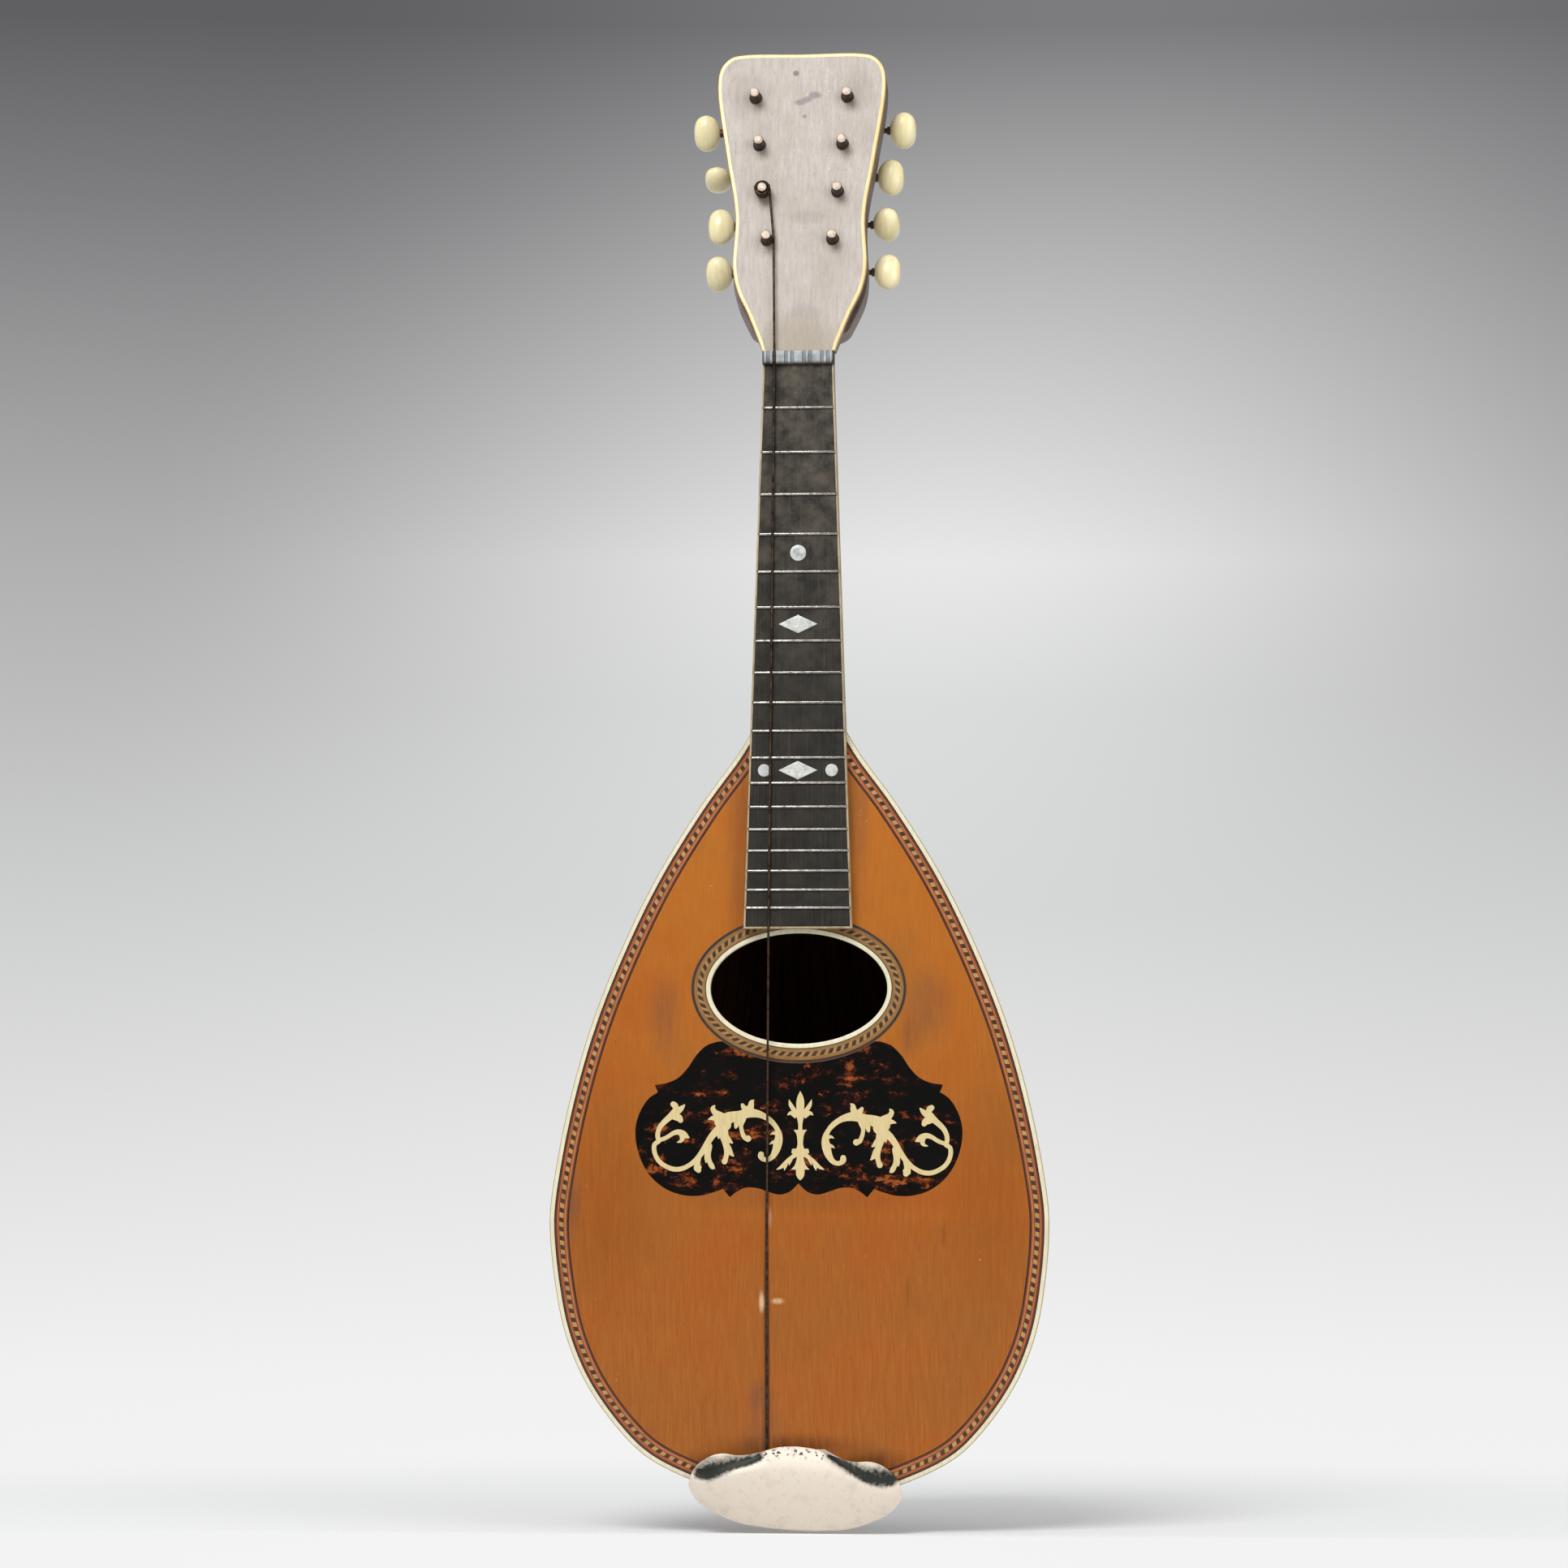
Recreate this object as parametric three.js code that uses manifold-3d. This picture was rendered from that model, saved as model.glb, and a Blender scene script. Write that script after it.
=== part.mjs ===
// Bowl back mandolin with one string left on it, upright, as separate solids in millimetres.
// +X is to the right of someone who looks at the soundboard, +Y is behind it and +Z runs up the neck.
// The origin is below the middle of the soundboard's plane, at the height of the tail end.
import * as THREE from "three";
import { mergeVertices } from "three/addons/utils/BufferGeometryUtils.js";
import Module from "manifold-3d";

const wasm = await Module();
wasm.setup();

// Clearances
const seam = 0.2; // glue line between two wooden pieces
const running = 0.3; // round a piece that turns or lifts off

// Scale and body
const scaleLength = 330.2; // nut to bridge line, 13 inches
const bridgeToTail = 112.5;
const bodyFret = 10; // the neck meets the body under this fret
const bodyWidth = 193;
const bowlDepth = 138; // soundboard face to the deepest rib
const heelDepth = 36;
const deepestShare = 0.37; // height of the deepest point, of the body's length
const cantAngle = 7.5; // degrees that the soundboard bends back behind the bridge line
const topThickness = 2.6;
const ribCount = 11;
const ribThickness = 2.2;
const halfWidth = bodyWidth / 2;
const bodyLength = bridgeToTail + fretToBridge(bodyFret);

// Outline of the body from the neck to the tail: [height, half width]
const edgeShares = [
  [1, 0.193], [0.97, 0.249], [0.907, 0.391], [0.812, 0.573], [0.717, 0.716], [0.622, 0.832],
  [0.527, 0.917], [0.433, 0.976], [0.366, 1], [0.276, 0.978], [0.213, 0.937], [0.151, 0.855],
  [0.088, 0.714], [0.057, 0.608], [0.026, 0.411], [0.009, 0.238], [0, 0],
];
const widestRow = 8; // the row of edgeShares where the soundboard bends
const capRow = 13; // the row where the ribs stop at the tail cap
const linerRow = 3; // the row below the neck block where the linings start
const cantHeight = edgeShares[widestRow][0] * bodyLength;

// Inlays of the soundboard
const bindingWidth = 1.7;
const purflingWidth = 6.4;
const inlayDepth = 1.2;
const boardToSoundhole = 1.5; // lower end of the fingerboard to the soundhole's edge
const soundholeHalfWidth = 34.3;
const soundholeHalfHeight = 21.4;
const holeBindingWidth = 1.7;
const rosetteWidth = 5.8;
const guardHalfWidth = 63;
const guardHeight = 59.8;
const guardToSoundhole = 80.4; // the guard's lowest points to the soundhole's middle
const guardThickness = 0.8;
const scrollThickness = 0.3;
const scrollHeight = 27.6;
const scrollLeftToMiddle = 6.8; // from the guard's centreline
const scrollRightToMiddle = 9.6;
const scrollLeftLift = 9.3; // from the guard's lowest points
const scrollRightLift = 7.9;
const ornamentHeight = 34.3;
const ornamentLift = 6.4;
const ornamentShift = 0.7; // the ornament sits this far right of the centreline

// Inside the body
const liningWidth = 5;
const liningDepth = 8;
const braceWidth = 6;
const braceDepth = 12;
const braceEnd = 4; // depth of a brace where it meets the lining
const braceTaper = 14;
const braceSpanShare = 0.92; // share of the room between the linings
const neckBlockLength = 42;
const tailBlockWidth = 70;
const tailBlockDepth = 52;

// Neck and fingerboard
const boardThickness = 5.5;
const boardWidthNut = 27.5;
const boardWidthEnd = 42;
const boardOverhang = 8; // last fret to the lower end of the fingerboard
const boardBindingWidth = 1;
const fretCount = 18;
const fretWidth = 1.2;
const fretHeight = 0.9;
const fretInset = 0.3;
const markerDepth = 0.8;
const markerGap = 0.15;
const dotRadius = 3.1;
const smallDotRadius = 2.4;
const diamondWidth = 15.2;
const diamondHeight = 7.2;
const nutWidth = 27.8;
const nutToBoard = 1.7; // how far it reaches over the end of the scale
const nutLength = 5.4;
const nutHeight = 7.3;
const nutSlotWidth = 1.25;
const nutSlotDepth = 0.8;
const neckDepthNut = 17;
const neckDepthHeel = 21;
const heelLength = 34;

// Headstock
const headAngle = 8; // degrees that it leans back
const headRise = 4.5; // its face stands this far in front of the neck at the nut
const headLength = 121.9;
const headWidth = 66.4;
const headThickness = 15.5;
const shoulderDepth = 6.5; // from its face to the shoulders
const veneerThickness = 1.5;
const headBindingWidth = 1.5;

// Tuning machines
const postNearX = 12.9; // the pair of posts nearest the nut
const postNearS = 44.9;
const postSpacing = 19.62;
const postSpread = 1.73; // each pair stands this much wider than the one below it
const postRows = 4;
const postRadius = 2.05;
const postHeight = 7.2;
const collarRadius = 2.7;
const collarHeight = 1.2;
const plateThickness = 1;
const plateInner = 6.2;
const plateOuter = 7;
const plateEnd = 13;
const gearTeeth = 14;
const gearRadius = 5; // pitch radius
const toothHeight = 0.5; // above and below the pitch circle
const gearThickness = 3.2;
const wormRadius = 2;
const wormLeads = 2;
const shaftRadius = 1.2;
const shaftTail = 0.6; // it stands this far out of the inner ear
const earThickness = 1;
const earHalf = 2.2;
const buttonLength = 10.7;
const buttonWidth = 14.4;
const buttonThickness = 8;
const buttonStarts = [15, 12.7, 12.5, 15.5]; // post to button, from the nut upwards
const buttonTurnsLeft = [35, 5, 75, 26]; // degrees, as each key was left, from the nut upwards
const buttonTurnsRight = [0, 47, 8, 22];

// Tailpiece
const tailpieceWidth = 36;
const tailpieceReach = 21;
const tailpieceDrop = 26;
const sheetThickness = 0.8;
const hookWidth = 1.4;
const hookLength = 2;
const hookHeight = 3.2;
const hookToTail = 12.5;
const clipWidth = 12;
const clipToTail = 2;
const clipLength = 5;
const coverWidth = 82.7;
const coverHeight = 32.4;
const coverDrop = 10.2; // it hangs this far below the tail end
const coverStand = 8.6; // in front of the soundboard's plane
const coverCurl = 4;
const coverTilt = 2.9; // degrees that it sits askew
const coverShift = -2.2; // it has slipped this far to the side

// String
const wireRadius = 0.475;
const wireGap = 0.1; // between the wire and what it lies on
const courseNut = 7;
const pairNut = 2.4;
const courseTail = 9.4;
const pairTail = 2.2;
const courses = 4;
const windingTurns = 3;
const windingRise = 1.4;
const windingSteps = 24;
const strungRow = 1; // the second post from the nut, on the left
const strungCourse = 0;

// Finishes
const spruce = { color: 0xa9652b, roughness: 0.45, metalness: 0 };
const rosewood = { color: 0x4a2a1c, roughness: 0.35, metalness: 0 };
const mahogany = { color: 0x5a3020, roughness: 0.4, metalness: 0 };
const paleWood = { color: 0xc9a77a, roughness: 0.7, metalness: 0 };
const ebony = { color: 0x231e1c, roughness: 0.45, metalness: 0 };
const greyVeneer = { color: 0x8d8488, roughness: 0.55, metalness: 0 };
const ivoroid = { color: 0xe9dfb4, roughness: 0.35, metalness: 0 };
const marquetry = { color: 0x9a7440, roughness: 0.45, metalness: 0 };
const tortoiseshell = { color: 0x1d1410, roughness: 0.2, metalness: 0 };
const pearl = { color: 0xd8dcd6, roughness: 0.25, metalness: 0 };
const brass = { color: 0xa08246, roughness: 0.4, metalness: 1 };
const agedSteel = { color: 0x6a5648, roughness: 0.5, metalness: 1 };
const platedBrass = { color: 0xc9c4bc, roughness: 0.25, metalness: 1 };
const woundWire = { color: 0x6e5138, roughness: 0.5, metalness: 1 };

// Distance from the bridge line to a fret, with 0 for the nut.
function fretToBridge(number) {
  return scaleLength * 2 ** (-number / 12);
}

// Height of a fret above the tail end.
function fretZ(number) {
  return bridgeToTail + fretToBridge(number);
}

function radians(degrees) {
  return THREE.MathUtils.degToRad(degrees);
}

// How far the soundboard's plane has bent back at a height.
function cant(z) {
  return Math.max(0, cantHeight - z) * Math.tan(radians(cantAngle));
}

// A geometry as a solid that can be joined and cut.
function solidOf(geometry) {
  const bare = new THREE.BufferGeometry();
  bare.setAttribute("position", geometry.getAttribute("position"));
  bare.setIndex(geometry.index);
  const merged = mergeVertices(bare);
  const index = merged.index.array;
  const faces = [];
  for (let i = 0; i < index.length; i += 3) {
    const [a, b, c] = index.slice(i, i + 3);
    if (a !== b && b !== c && c !== a) faces.push(a, b, c);
  }
  const vertProperties = merged.getAttribute("position").array;
  return new wasm.Manifold(
    new wasm.Mesh({ numProp: 3, vertProperties, triVerts: new Uint32Array(faces) }),
  );
}

function geometryOf(solid) {
  const mesh = solid.getMesh();
  const geometry = new THREE.BufferGeometry();
  geometry.setAttribute("position", new THREE.BufferAttribute(mesh.vertProperties, 3));
  geometry.setIndex(new THREE.BufferAttribute(mesh.triVerts, 1));
  const shaded = geometry.toNonIndexed();
  shaded.computeVertexNormals();
  return shaded;
}

function joined(first, ...others) {
  return others.reduce((sum, other) => sum.add(other), first);
}

// Points and faces as a closed solid whose faces look outwards.
function closed(points, faces) {
  let volume = 0;
  for (let i = 0; i < faces.length; i += 3) {
    const [a, b, c] = faces.slice(i, i + 3).map((k) => new THREE.Vector3(...points[k]));
    volume += a.dot(b.cross(c));
  }
  const geometry = new THREE.BufferGeometry();
  geometry.setAttribute("position", new THREE.Float32BufferAttribute(points.flat(), 3));
  geometry.setIndex(volume < 0 ? faces.reverse() : faces);
  return solidOf(geometry);
}

// A solid through rings of equally many points, closed by a fan at each end.
function loft(rings) {
  const count = rings[0].length;
  const last = (rings.length - 1) * count;
  const faces = [];
  for (let start = 0; start < last; start += count) {
    for (let k = 0; k < count; k += 1) {
      const a = start + k;
      const b = start + ((k + 1) % count);
      faces.push(a, b, a + count, b, b + count, a + count);
    }
  }
  for (let k = 1; k < count - 1; k += 1) {
    faces.push(0, k + 1, k, last, last + k, last + k + 1);
  }
  return closed(rings.flat(), faces);
}

// A bent sheet between two grids of points.
function sheet(outer, inner) {
  const columns = outer[0].length;
  const size = outer.length * columns;
  const faces = [];
  for (let r = 0; r < outer.length - 1; r += 1) {
    for (let c = 0; c < columns - 1; c += 1) {
      const a = r * columns + c;
      const b = a + columns;
      faces.push(a, a + 1, b + 1, a, b + 1, b);
      faces.push(size + a, size + b + 1, size + a + 1, size + a, size + b, size + b + 1);
    }
  }
  const rim = [];
  for (let c = 0; c < columns - 1; c += 1) rim.push(c);
  for (let r = 0; r < outer.length - 1; r += 1) rim.push(r * columns + columns - 1);
  for (let c = columns - 1; c > 0; c -= 1) rim.push(size - columns + c);
  for (let r = outer.length - 1; r > 0; r -= 1) rim.push(r * columns);
  rim.forEach((a, i) => {
    const b = rim[(i + 1) % rim.length];
    faces.push(b, a, size + a, b, size + a, size + b);
  });
  return closed([...outer.flat(), ...inner.flat()], faces);
}

// A flat plate from an outline in x and z, between two values of y.
const standing = new THREE.Matrix4().set(1, 0, 0, 0, 0, 0, -1, 0, 0, 1, 0, 0, 0, 0, 0, 1);
function plate(outline, front, back, holes = []) {
  const shape = new THREE.Shape(outline.map(([x, z]) => new THREE.Vector2(x, z)));
  for (const hole of holes) {
    shape.holes.push(new THREE.Path(hole.map(([x, z]) => new THREE.Vector2(x, z))));
  }
  const geometry = new THREE.ExtrudeGeometry(shape, { depth: back - front, bevelEnabled: false });
  return solidOf(geometry.applyMatrix4(standing).translate(0, back, 0));
}

// A bar along x from an outline in y and z.
const sideways = new THREE.Matrix4().set(0, 0, 1, 0, 1, 0, 0, 0, 0, 1, 0, 0, 0, 0, 0, 1);
function bar(profile, left, right, holes = []) {
  const shape = new THREE.Shape(profile.map(([y, z]) => new THREE.Vector2(y, z)));
  for (const hole of holes) {
    shape.holes.push(new THREE.Path(hole.map(([y, z]) => new THREE.Vector2(y, z))));
  }
  const geometry = new THREE.ExtrudeGeometry(shape, { depth: right - left, bevelEnabled: false });
  return solidOf(geometry.applyMatrix4(sideways).translate(left, 0, 0));
}

function block(low, high) {
  const size = high.map((value, i) => value - low[i]);
  const middle = high.map((value, i) => (value + low[i]) / 2);
  return solidOf(new THREE.BoxGeometry(...size).translate(...middle));
}

function ellipse(halfX, halfZ, centreX, centreZ, sides) {
  return Array.from({ length: sides }, (_, i) => {
    const turn = (2 * Math.PI * i) / sides;
    return [centreX + halfX * Math.cos(turn), centreZ + halfZ * Math.sin(turn)];
  });
}

// The edge of the body from the neck's right side, round the tail, to its left side.
const edgeSteps = 2;
const rightEdge = edgeShares.map(([height, half]) => new THREE.Vector3(half * halfWidth, 0, height * bodyLength));
const leftEdge = rightEdge.slice(0, -1).reverse().map((p) => new THREE.Vector3(-p.x, 0, p.z));
const edgeCurve = new THREE.CatmullRomCurve3([...rightEdge, ...leftEdge], false, "centripetal");
const tailStation = (edgeShares.length - 1) * edgeSteps;
const stations = Array.from({ length: 2 * tailStation + 1 }, (_, i) => {
  const share = i / (2 * tailStation);
  const { x, z } = edgeCurve.getPoint(share);
  const tangent = edgeCurve.getTangent(share);
  const bend = tailStation - Math.abs(i - tailStation) === widestRow * edgeSteps;
  return { x, z, outX: bend ? Math.sign(x) : -tangent.z, outZ: bend ? 0 : tangent.x };
});

// A point of the edge moved inwards.
function inset(station, distance) {
  const { x, z, outX, outZ } = station;
  return [x - distance * outX, z - distance * outZ];
}

// A strip that follows the whole edge between two insets and two depths.
function edgeStrip(outside, inside, front, back) {
  return loft(stations.map((station) => {
    const [outerX, outerZ] = inset(station, outside);
    const [innerX, innerZ] = inset(station, inside);
    return [
      [outerX, front + cant(outerZ), outerZ],
      [innerX, front + cant(innerZ), innerZ],
      [innerX, back + cant(innerZ), innerZ],
      [outerX, back + cant(outerZ), outerZ],
    ];
  }));
}

// One layer of the soundboard inside an inset of the edge.
function layer(distance, front, back) {
  const half = stations.slice(0, tailStation + 1).map((station) => inset(station, distance));
  half.unshift([half[0][0], bodyLength]);
  half[half.length - 1][0] = 0;
  return loft(half.map(([x, z]) => [
    [-x, front + cant(z), z],
    [x, front + cant(z), z],
    [x, back + cant(z), z],
    [-x, back + cant(z), z],
  ]));
}

// The bowl's outer surface: rows run from the neck to the tail, and the turn is 0 at the keel.
const ribTop = topThickness + seam;
const deepZ = deepestShare * bodyLength;

function keelY(z) {
  const edgeY = ribTop + cant(0);
  if (z < deepZ) {
    return edgeY + (bowlDepth - edgeY) * Math.sqrt(1 - ((deepZ - z) / deepZ) ** 2);
  }
  const share = (z - deepZ) / (bodyLength - deepZ);
  return heelDepth + (bowlDepth - heelDepth) * Math.cos((share * Math.PI) / 2);
}

function bowlSurface(row, turn) {
  const { x, z } = rightEdge[row];
  const edgeY = ribTop + cant(z);
  return new THREE.Vector3(x * Math.sin(turn), edgeY + (keelY(z) - edgeY) * Math.cos(turn), z);
}

// A point of the bowl's wall, sunk inwards from its outer surface.
function bowlPoint(row, turn, sink) {
  const point = bowlSurface(row, turn);
  const last = rightEdge.length - 1;
  const outward = new THREE.Vector3(0, 0, -1);
  if (row < last) {
    const along = bowlSurface(Math.max(0, row - 1), turn).sub(bowlSurface(row + 1, turn));
    const { x, z } = rightEdge[row];
    const depth = keelY(z) - ribTop - cant(z);
    const across = new THREE.Vector3(x * Math.cos(turn), -depth * Math.sin(turn), 0);
    outward.copy(along.cross(across));
    if (row === 0) outward.z = 0;
    outward.normalize();
  }
  return point.addScaledVector(outward, -sink);
}

// Length of the surface for one radian across it.
function girth(row, turn) {
  const { x, z } = rightEdge[row];
  const depth = keelY(z) - ribTop - cant(z);
  return Math.hypot(x * Math.cos(turn), depth * Math.sin(turn));
}

function rib(number) {
  const step = Math.PI / ribCount;
  const low = -Math.PI / 2 + number * step;
  const rows = Array.from({ length: capRow + 1 }, (_, row) => row);
  const grid = (sink) => rows.map((row) => [low, low + step].map((turn, side) => {
    const free = Math.abs(turn) < Math.PI / 2 - step / 2;
    const shift = free ? (seam / 2 / girth(row, turn)) * (side ? -1 : 1) : 0;
    const point = bowlPoint(row, turn + shift, sink);
    if (row < capRow) return point.toArray();
    const previous = bowlPoint(row - 1, turn + shift, sink);
    return point.lerp(previous, seam / point.distanceTo(previous)).toArray();
  }));
  return sheet(grid(0), grid(ribThickness));
}

// Rows of the bowl's wall from one row to another, with a corner at every joint between ribs.
function bowlRows(first, last, sink) {
  return Array.from({ length: last - first + 1 }, (_, i) =>
    Array.from({ length: ribCount + 1 }, (_, k) =>
      bowlPoint(first + i, -Math.PI / 2 + (k * Math.PI) / ribCount, sink).toArray()));
}

function tailCap() {
  const last = edgeShares.length - 1;
  return sheet(bowlRows(capRow, last, 0), bowlRows(capRow, last, ribThickness));
}

// The blocks that the ends of the ribs are glued to.
function tailBlock() {
  const room = block([-tailBlockWidth / 2, 0, 0], [tailBlockWidth / 2, tailBlockDepth, bodyLength]);
  return loft(bowlRows(capRow, edgeShares.length - 1, ribThickness + seam)).intersect(room);
}

function neckBlock() {
  const room = block([-bodyWidth, 0, bodyLength - neckBlockLength], [bodyWidth, bowlDepth, bodyLength]);
  return loft(bowlRows(0, linerRow, ribThickness + running)).intersect(room);
}

// A D-shaped ring: flat in front and half an ellipse behind.
function dRing(z, half, front, back) {
  const sides = 8;
  return Array.from({ length: sides + 1 }, (_, k) => {
    const turn = -Math.PI / 2 + (k * Math.PI) / sides;
    return [half * Math.sin(turn), front + (back - front) * Math.cos(turn), z];
  });
}

// Half width of the ribs' outer side at a height.
function bowlHalf(z) {
  const row = rightEdge.findIndex((p) => p.z <= z);
  const low = rightEdge[row];
  const high = rightEdge[Math.max(0, row - 1)];
  const share = high.z > low.z ? (z - low.z) / (high.z - low.z) : 0;
  return low.x + (high.x - low.x) * share;
}

// A strip along the joint between the soundboard and the ribs; its outer side leans with the outermost rib.
function lining(side) {
  const lean = Math.tan(Math.PI / ribCount / 2);
  const rings = edgeShares.slice(linerRow, capRow).map((_, i) => {
    const station = stations[(linerRow + i) * edgeSteps];
    const depth = keelY(station.z) - ribTop - cant(station.z);
    const sink = ribThickness + 2 * seam;
    const [outerX, outerZ] = inset(station, sink);
    const [backX, backZ] = inset(station, sink + (liningDepth * lean * station.x) / depth);
    const [innerX, innerZ] = inset(station, sink + liningWidth);
    return [
      [side * outerX, ribTop + cant(outerZ), outerZ],
      [side * innerX, ribTop + cant(innerZ), innerZ],
      [side * innerX, ribTop + cant(innerZ) + liningDepth, innerZ],
      [side * backX, ribTop + cant(backZ) + liningDepth, backZ],
    ];
  });
  return loft(rings);
}

function brace(middle) {
  const half = braceSpanShare * (bowlHalf(middle) - ribThickness - liningWidth);
  const ring = (z) => [
    [-half, topThickness, z],
    [half, topThickness, z],
    [half, topThickness + braceEnd, z],
    [half - braceTaper, topThickness + braceDepth, z],
    [braceTaper - half, topThickness + braceDepth, z],
    [-half, topThickness + braceEnd, z],
  ];
  return loft([ring(middle - braceWidth / 2), ring(middle + braceWidth / 2)]);
}

// Soundhole, rosette and guard
const boardEndZ = fretZ(fretCount) - boardOverhang;
const holeZ = boardEndZ - boardToSoundhole - soundholeHalfHeight;
const ovalSides = 36;

function oval(growth) {
  return ellipse(soundholeHalfWidth + growth, soundholeHalfHeight + growth, 0, holeZ, ovalSides);
}

const guardShares = [
  [0.498, 1], [0.565, 0.975], [0.629, 0.911], [0.679, 0.833], [0.74, 0.766], [0.816, 0.731],
  [0.883, 0.721], [0.865, 0.674], [0.922, 0.632], [0.971, 0.554], [1, 0.457], [0.997, 0.346],
  [0.967, 0.237], [0.905, 0.13], [0.81, 0.05], [0.706, 0.013], [0.605, 0.01], [0.521, 0.032],
  [0.463, 0.054], [0.421, 0], [0.386, 0.032], [0.33, 0.06], [0.257, 0.06], [0.189, 0.037],
  [0.119, 0.018], [0.056, 0.035],
];
const guardNotchShare = 0.089;
const guardZ = holeZ - guardToSoundhole;

// The guard's outline, clockwise from the top right, grown outwards by a distance.
function guardOutline(growth) {
  const right = guardShares.map(([x, z]) => [x * guardHalfWidth, guardZ + z * guardHeight]);
  const left = right.map(([x, z]) => [-x, z]).reverse();
  const points = [...right, [0, guardZ + guardNotchShare * guardHeight], ...left];
  return points.map(([x, z], i) => {
    const [beforeX, beforeZ] = points.at(i - 1);
    const [afterX, afterZ] = points[(i + 1) % points.length];
    const length = Math.hypot(afterX - beforeX, afterZ - beforeZ);
    return [x - (growth * (afterZ - beforeZ)) / length, z + (growth * (afterX - beforeX)) / length];
  });
}

function soundboard() {
  const step = inlayDepth + seam;
  const face = layer(bindingWidth + purflingWidth + seam, 0, (step + topThickness) / 2);
  const base = layer(bindingWidth + seam, step, topThickness);
  const ringEdge = holeBindingWidth + rosetteWidth + seam;
  return joined(face, base)
    .subtract(plate(oval(holeBindingWidth + seam), -topThickness, 2 * topThickness))
    .subtract(plate(oval(ringEdge), -topThickness, inlayDepth))
    .subtract(plate(guardOutline(seam), -topThickness, guardThickness));
}

function ovalRing(inside, outside, back) {
  return plate(oval(outside), 0, back, [oval(inside)]);
}

function guard() {
  const rosetteEdge = holeBindingWidth + rosetteWidth + 2 * seam;
  return plate(guardOutline(0), 0, guardThickness)
    .subtract(plate(oval(rosetteEdge), -topThickness, topThickness));
}

// Tapered strokes of the scroll: [across from its outer end, up, width], as shares of its height
const scrollShares = {
  mainStem: [
    [0.1, 0.44, 0.06], [0.04, 0.4, 0.06], [0.04, 0.32, 0.06], [0.06, 0.23, 0.06], [0.11, 0.15, 0.06],
    [0.19, 0.1, 0.06], [0.28, 0.06, 0.07], [0.36, 0.05, 0.07], [0.45, 0.06, 0.07], [0.53, 0.1, 0.07],
    [0.61, 0.16, 0.07], [0.68, 0.24, 0.08], [0.75, 0.35, 0.08], [0.81, 0.45, 0.09], [0.87, 0.54, 0.1],
    [0.95, 0.6, 0.13], [1.04, 0.67, 0.17],
  ],
  upperCurl: [
    [0.1, 0.43, 0.04], [0.09, 0.5, 0.07], [0.09, 0.57, 0.07], [0.12, 0.65, 0.07], [0.18, 0.72, 0.08],
    [0.25, 0.78, 0.09], [0.32, 0.84, 0.1], [0.34, 0.9, 0.08], [0.3, 0.96, 0.08],
  ],
  upperTip: [[0.34, 0.84, 0.09], [0.41, 0.9, 0.07], [0.47, 0.95, 0.01]],
  upperLobe: [[0.32, 0.79, 0.11], [0.4, 0.74, 0.08]],
  lowerCurl: [
    [0.1, 0.45, 0.05], [0.17, 0.47, 0.06], [0.24, 0.51, 0.06], [0.3, 0.55, 0.06], [0.37, 0.57, 0.07],
    [0.44, 0.55, 0.09], [0.49, 0.51, 0.06], [0.53, 0.49, 0.01],
  ],
  footLobe: [[0.66, 0.2, 0.08], [0.64, 0.12, 0.09], [0.66, 0.04, 0.1]],
  secondLobe: [[0.8, 0.37, 0.11], [0.79, 0.25, 0.09], [0.82, 0.15, 0.07], [0.89, 0.06, 0.02]],
  thirdLobe: [[1, 0.6, 0.15], [1.04, 0.44, 0.11], [1.06, 0.32, 0.08], [1.03, 0.16, 0.08]],
  leftLeafTip: [[0.95, 0.75, 0.11], [0.87, 0.76, 0.07], [0.79, 0.74, 0.01]],
  leftLeafTop: [[0.96, 0.79, 0.13], [0.87, 0.87, 0.07], [0.89, 0.94, 0.02]],
  body: [
    [0.97, 0.72, 0.18], [1.1, 0.77, 0.16], [1.23, 0.8, 0.13], [1.36, 0.83, 0.13], [1.48, 0.82, 0.11],
    [1.59, 0.78, 0.08], [1.68, 0.72, 0.07], [1.75, 0.63, 0.07], [1.79, 0.53, 0.1], [1.78, 0.43, 0.12],
    [1.75, 0.32, 0.11], [1.7, 0.23, 0.08], [1.64, 0.19, 0.07], [1.57, 0.19, 0.07], [1.54, 0.25, 0.08],
  ],
  topLeaf: [[1.37, 0.86, 0.13], [1.39, 0.94, 0.08], [1.44, 1.02, 0.01]],
  middleCurl: [[1.27, 0.75, 0.11], [1.26, 0.65, 0.06], [1.28, 0.55, 0.06], [1.35, 0.48, 0.09]],
};
const scrollWidthShare = 1.815;

// Strokes of the ornament between the scrolls: [out from its middle, up, width], as shares of its height
const spindleShares = [
  [0, 1, 0.01], [0, 0.93, 0.07], [0, 0.87, 0.09], [0, 0.72, 0.08], [0, 0.6, 0.05], [0, 0.57, 0.05],
  [0, 0.56, 0.15], [0, 0.52, 0.09], [0, 0.4, 0.06], [0, 0.34, 0.09], [0, 0.27, 0.07], [0, 0.16, 0.14],
  [0, 0.12, 0.2], [0, 0.115, 0.1], [0, 0.03, 0.07], [0, 0, 0.01],
];
const ornamentShares = {
  topLeaf: [[0.01, 0.72, 0.07], [0.07, 0.79, 0.05], [0.13, 0.91, 0.01]],
  topBarb: [[0.02, 0.72, 0.07], [0.11, 0.76, 0.05], [0.14, 0.73, 0.01]],
  knob: [[0.01, 0.31, 0.07], [0.1, 0.33, 0.05]],
  lowerLeaf: [[0.01, 0.3, 0.06], [0.09, 0.26, 0.05], [0.16, 0.2, 0.05], [0.27, 0.12, 0.01]],
};

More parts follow.
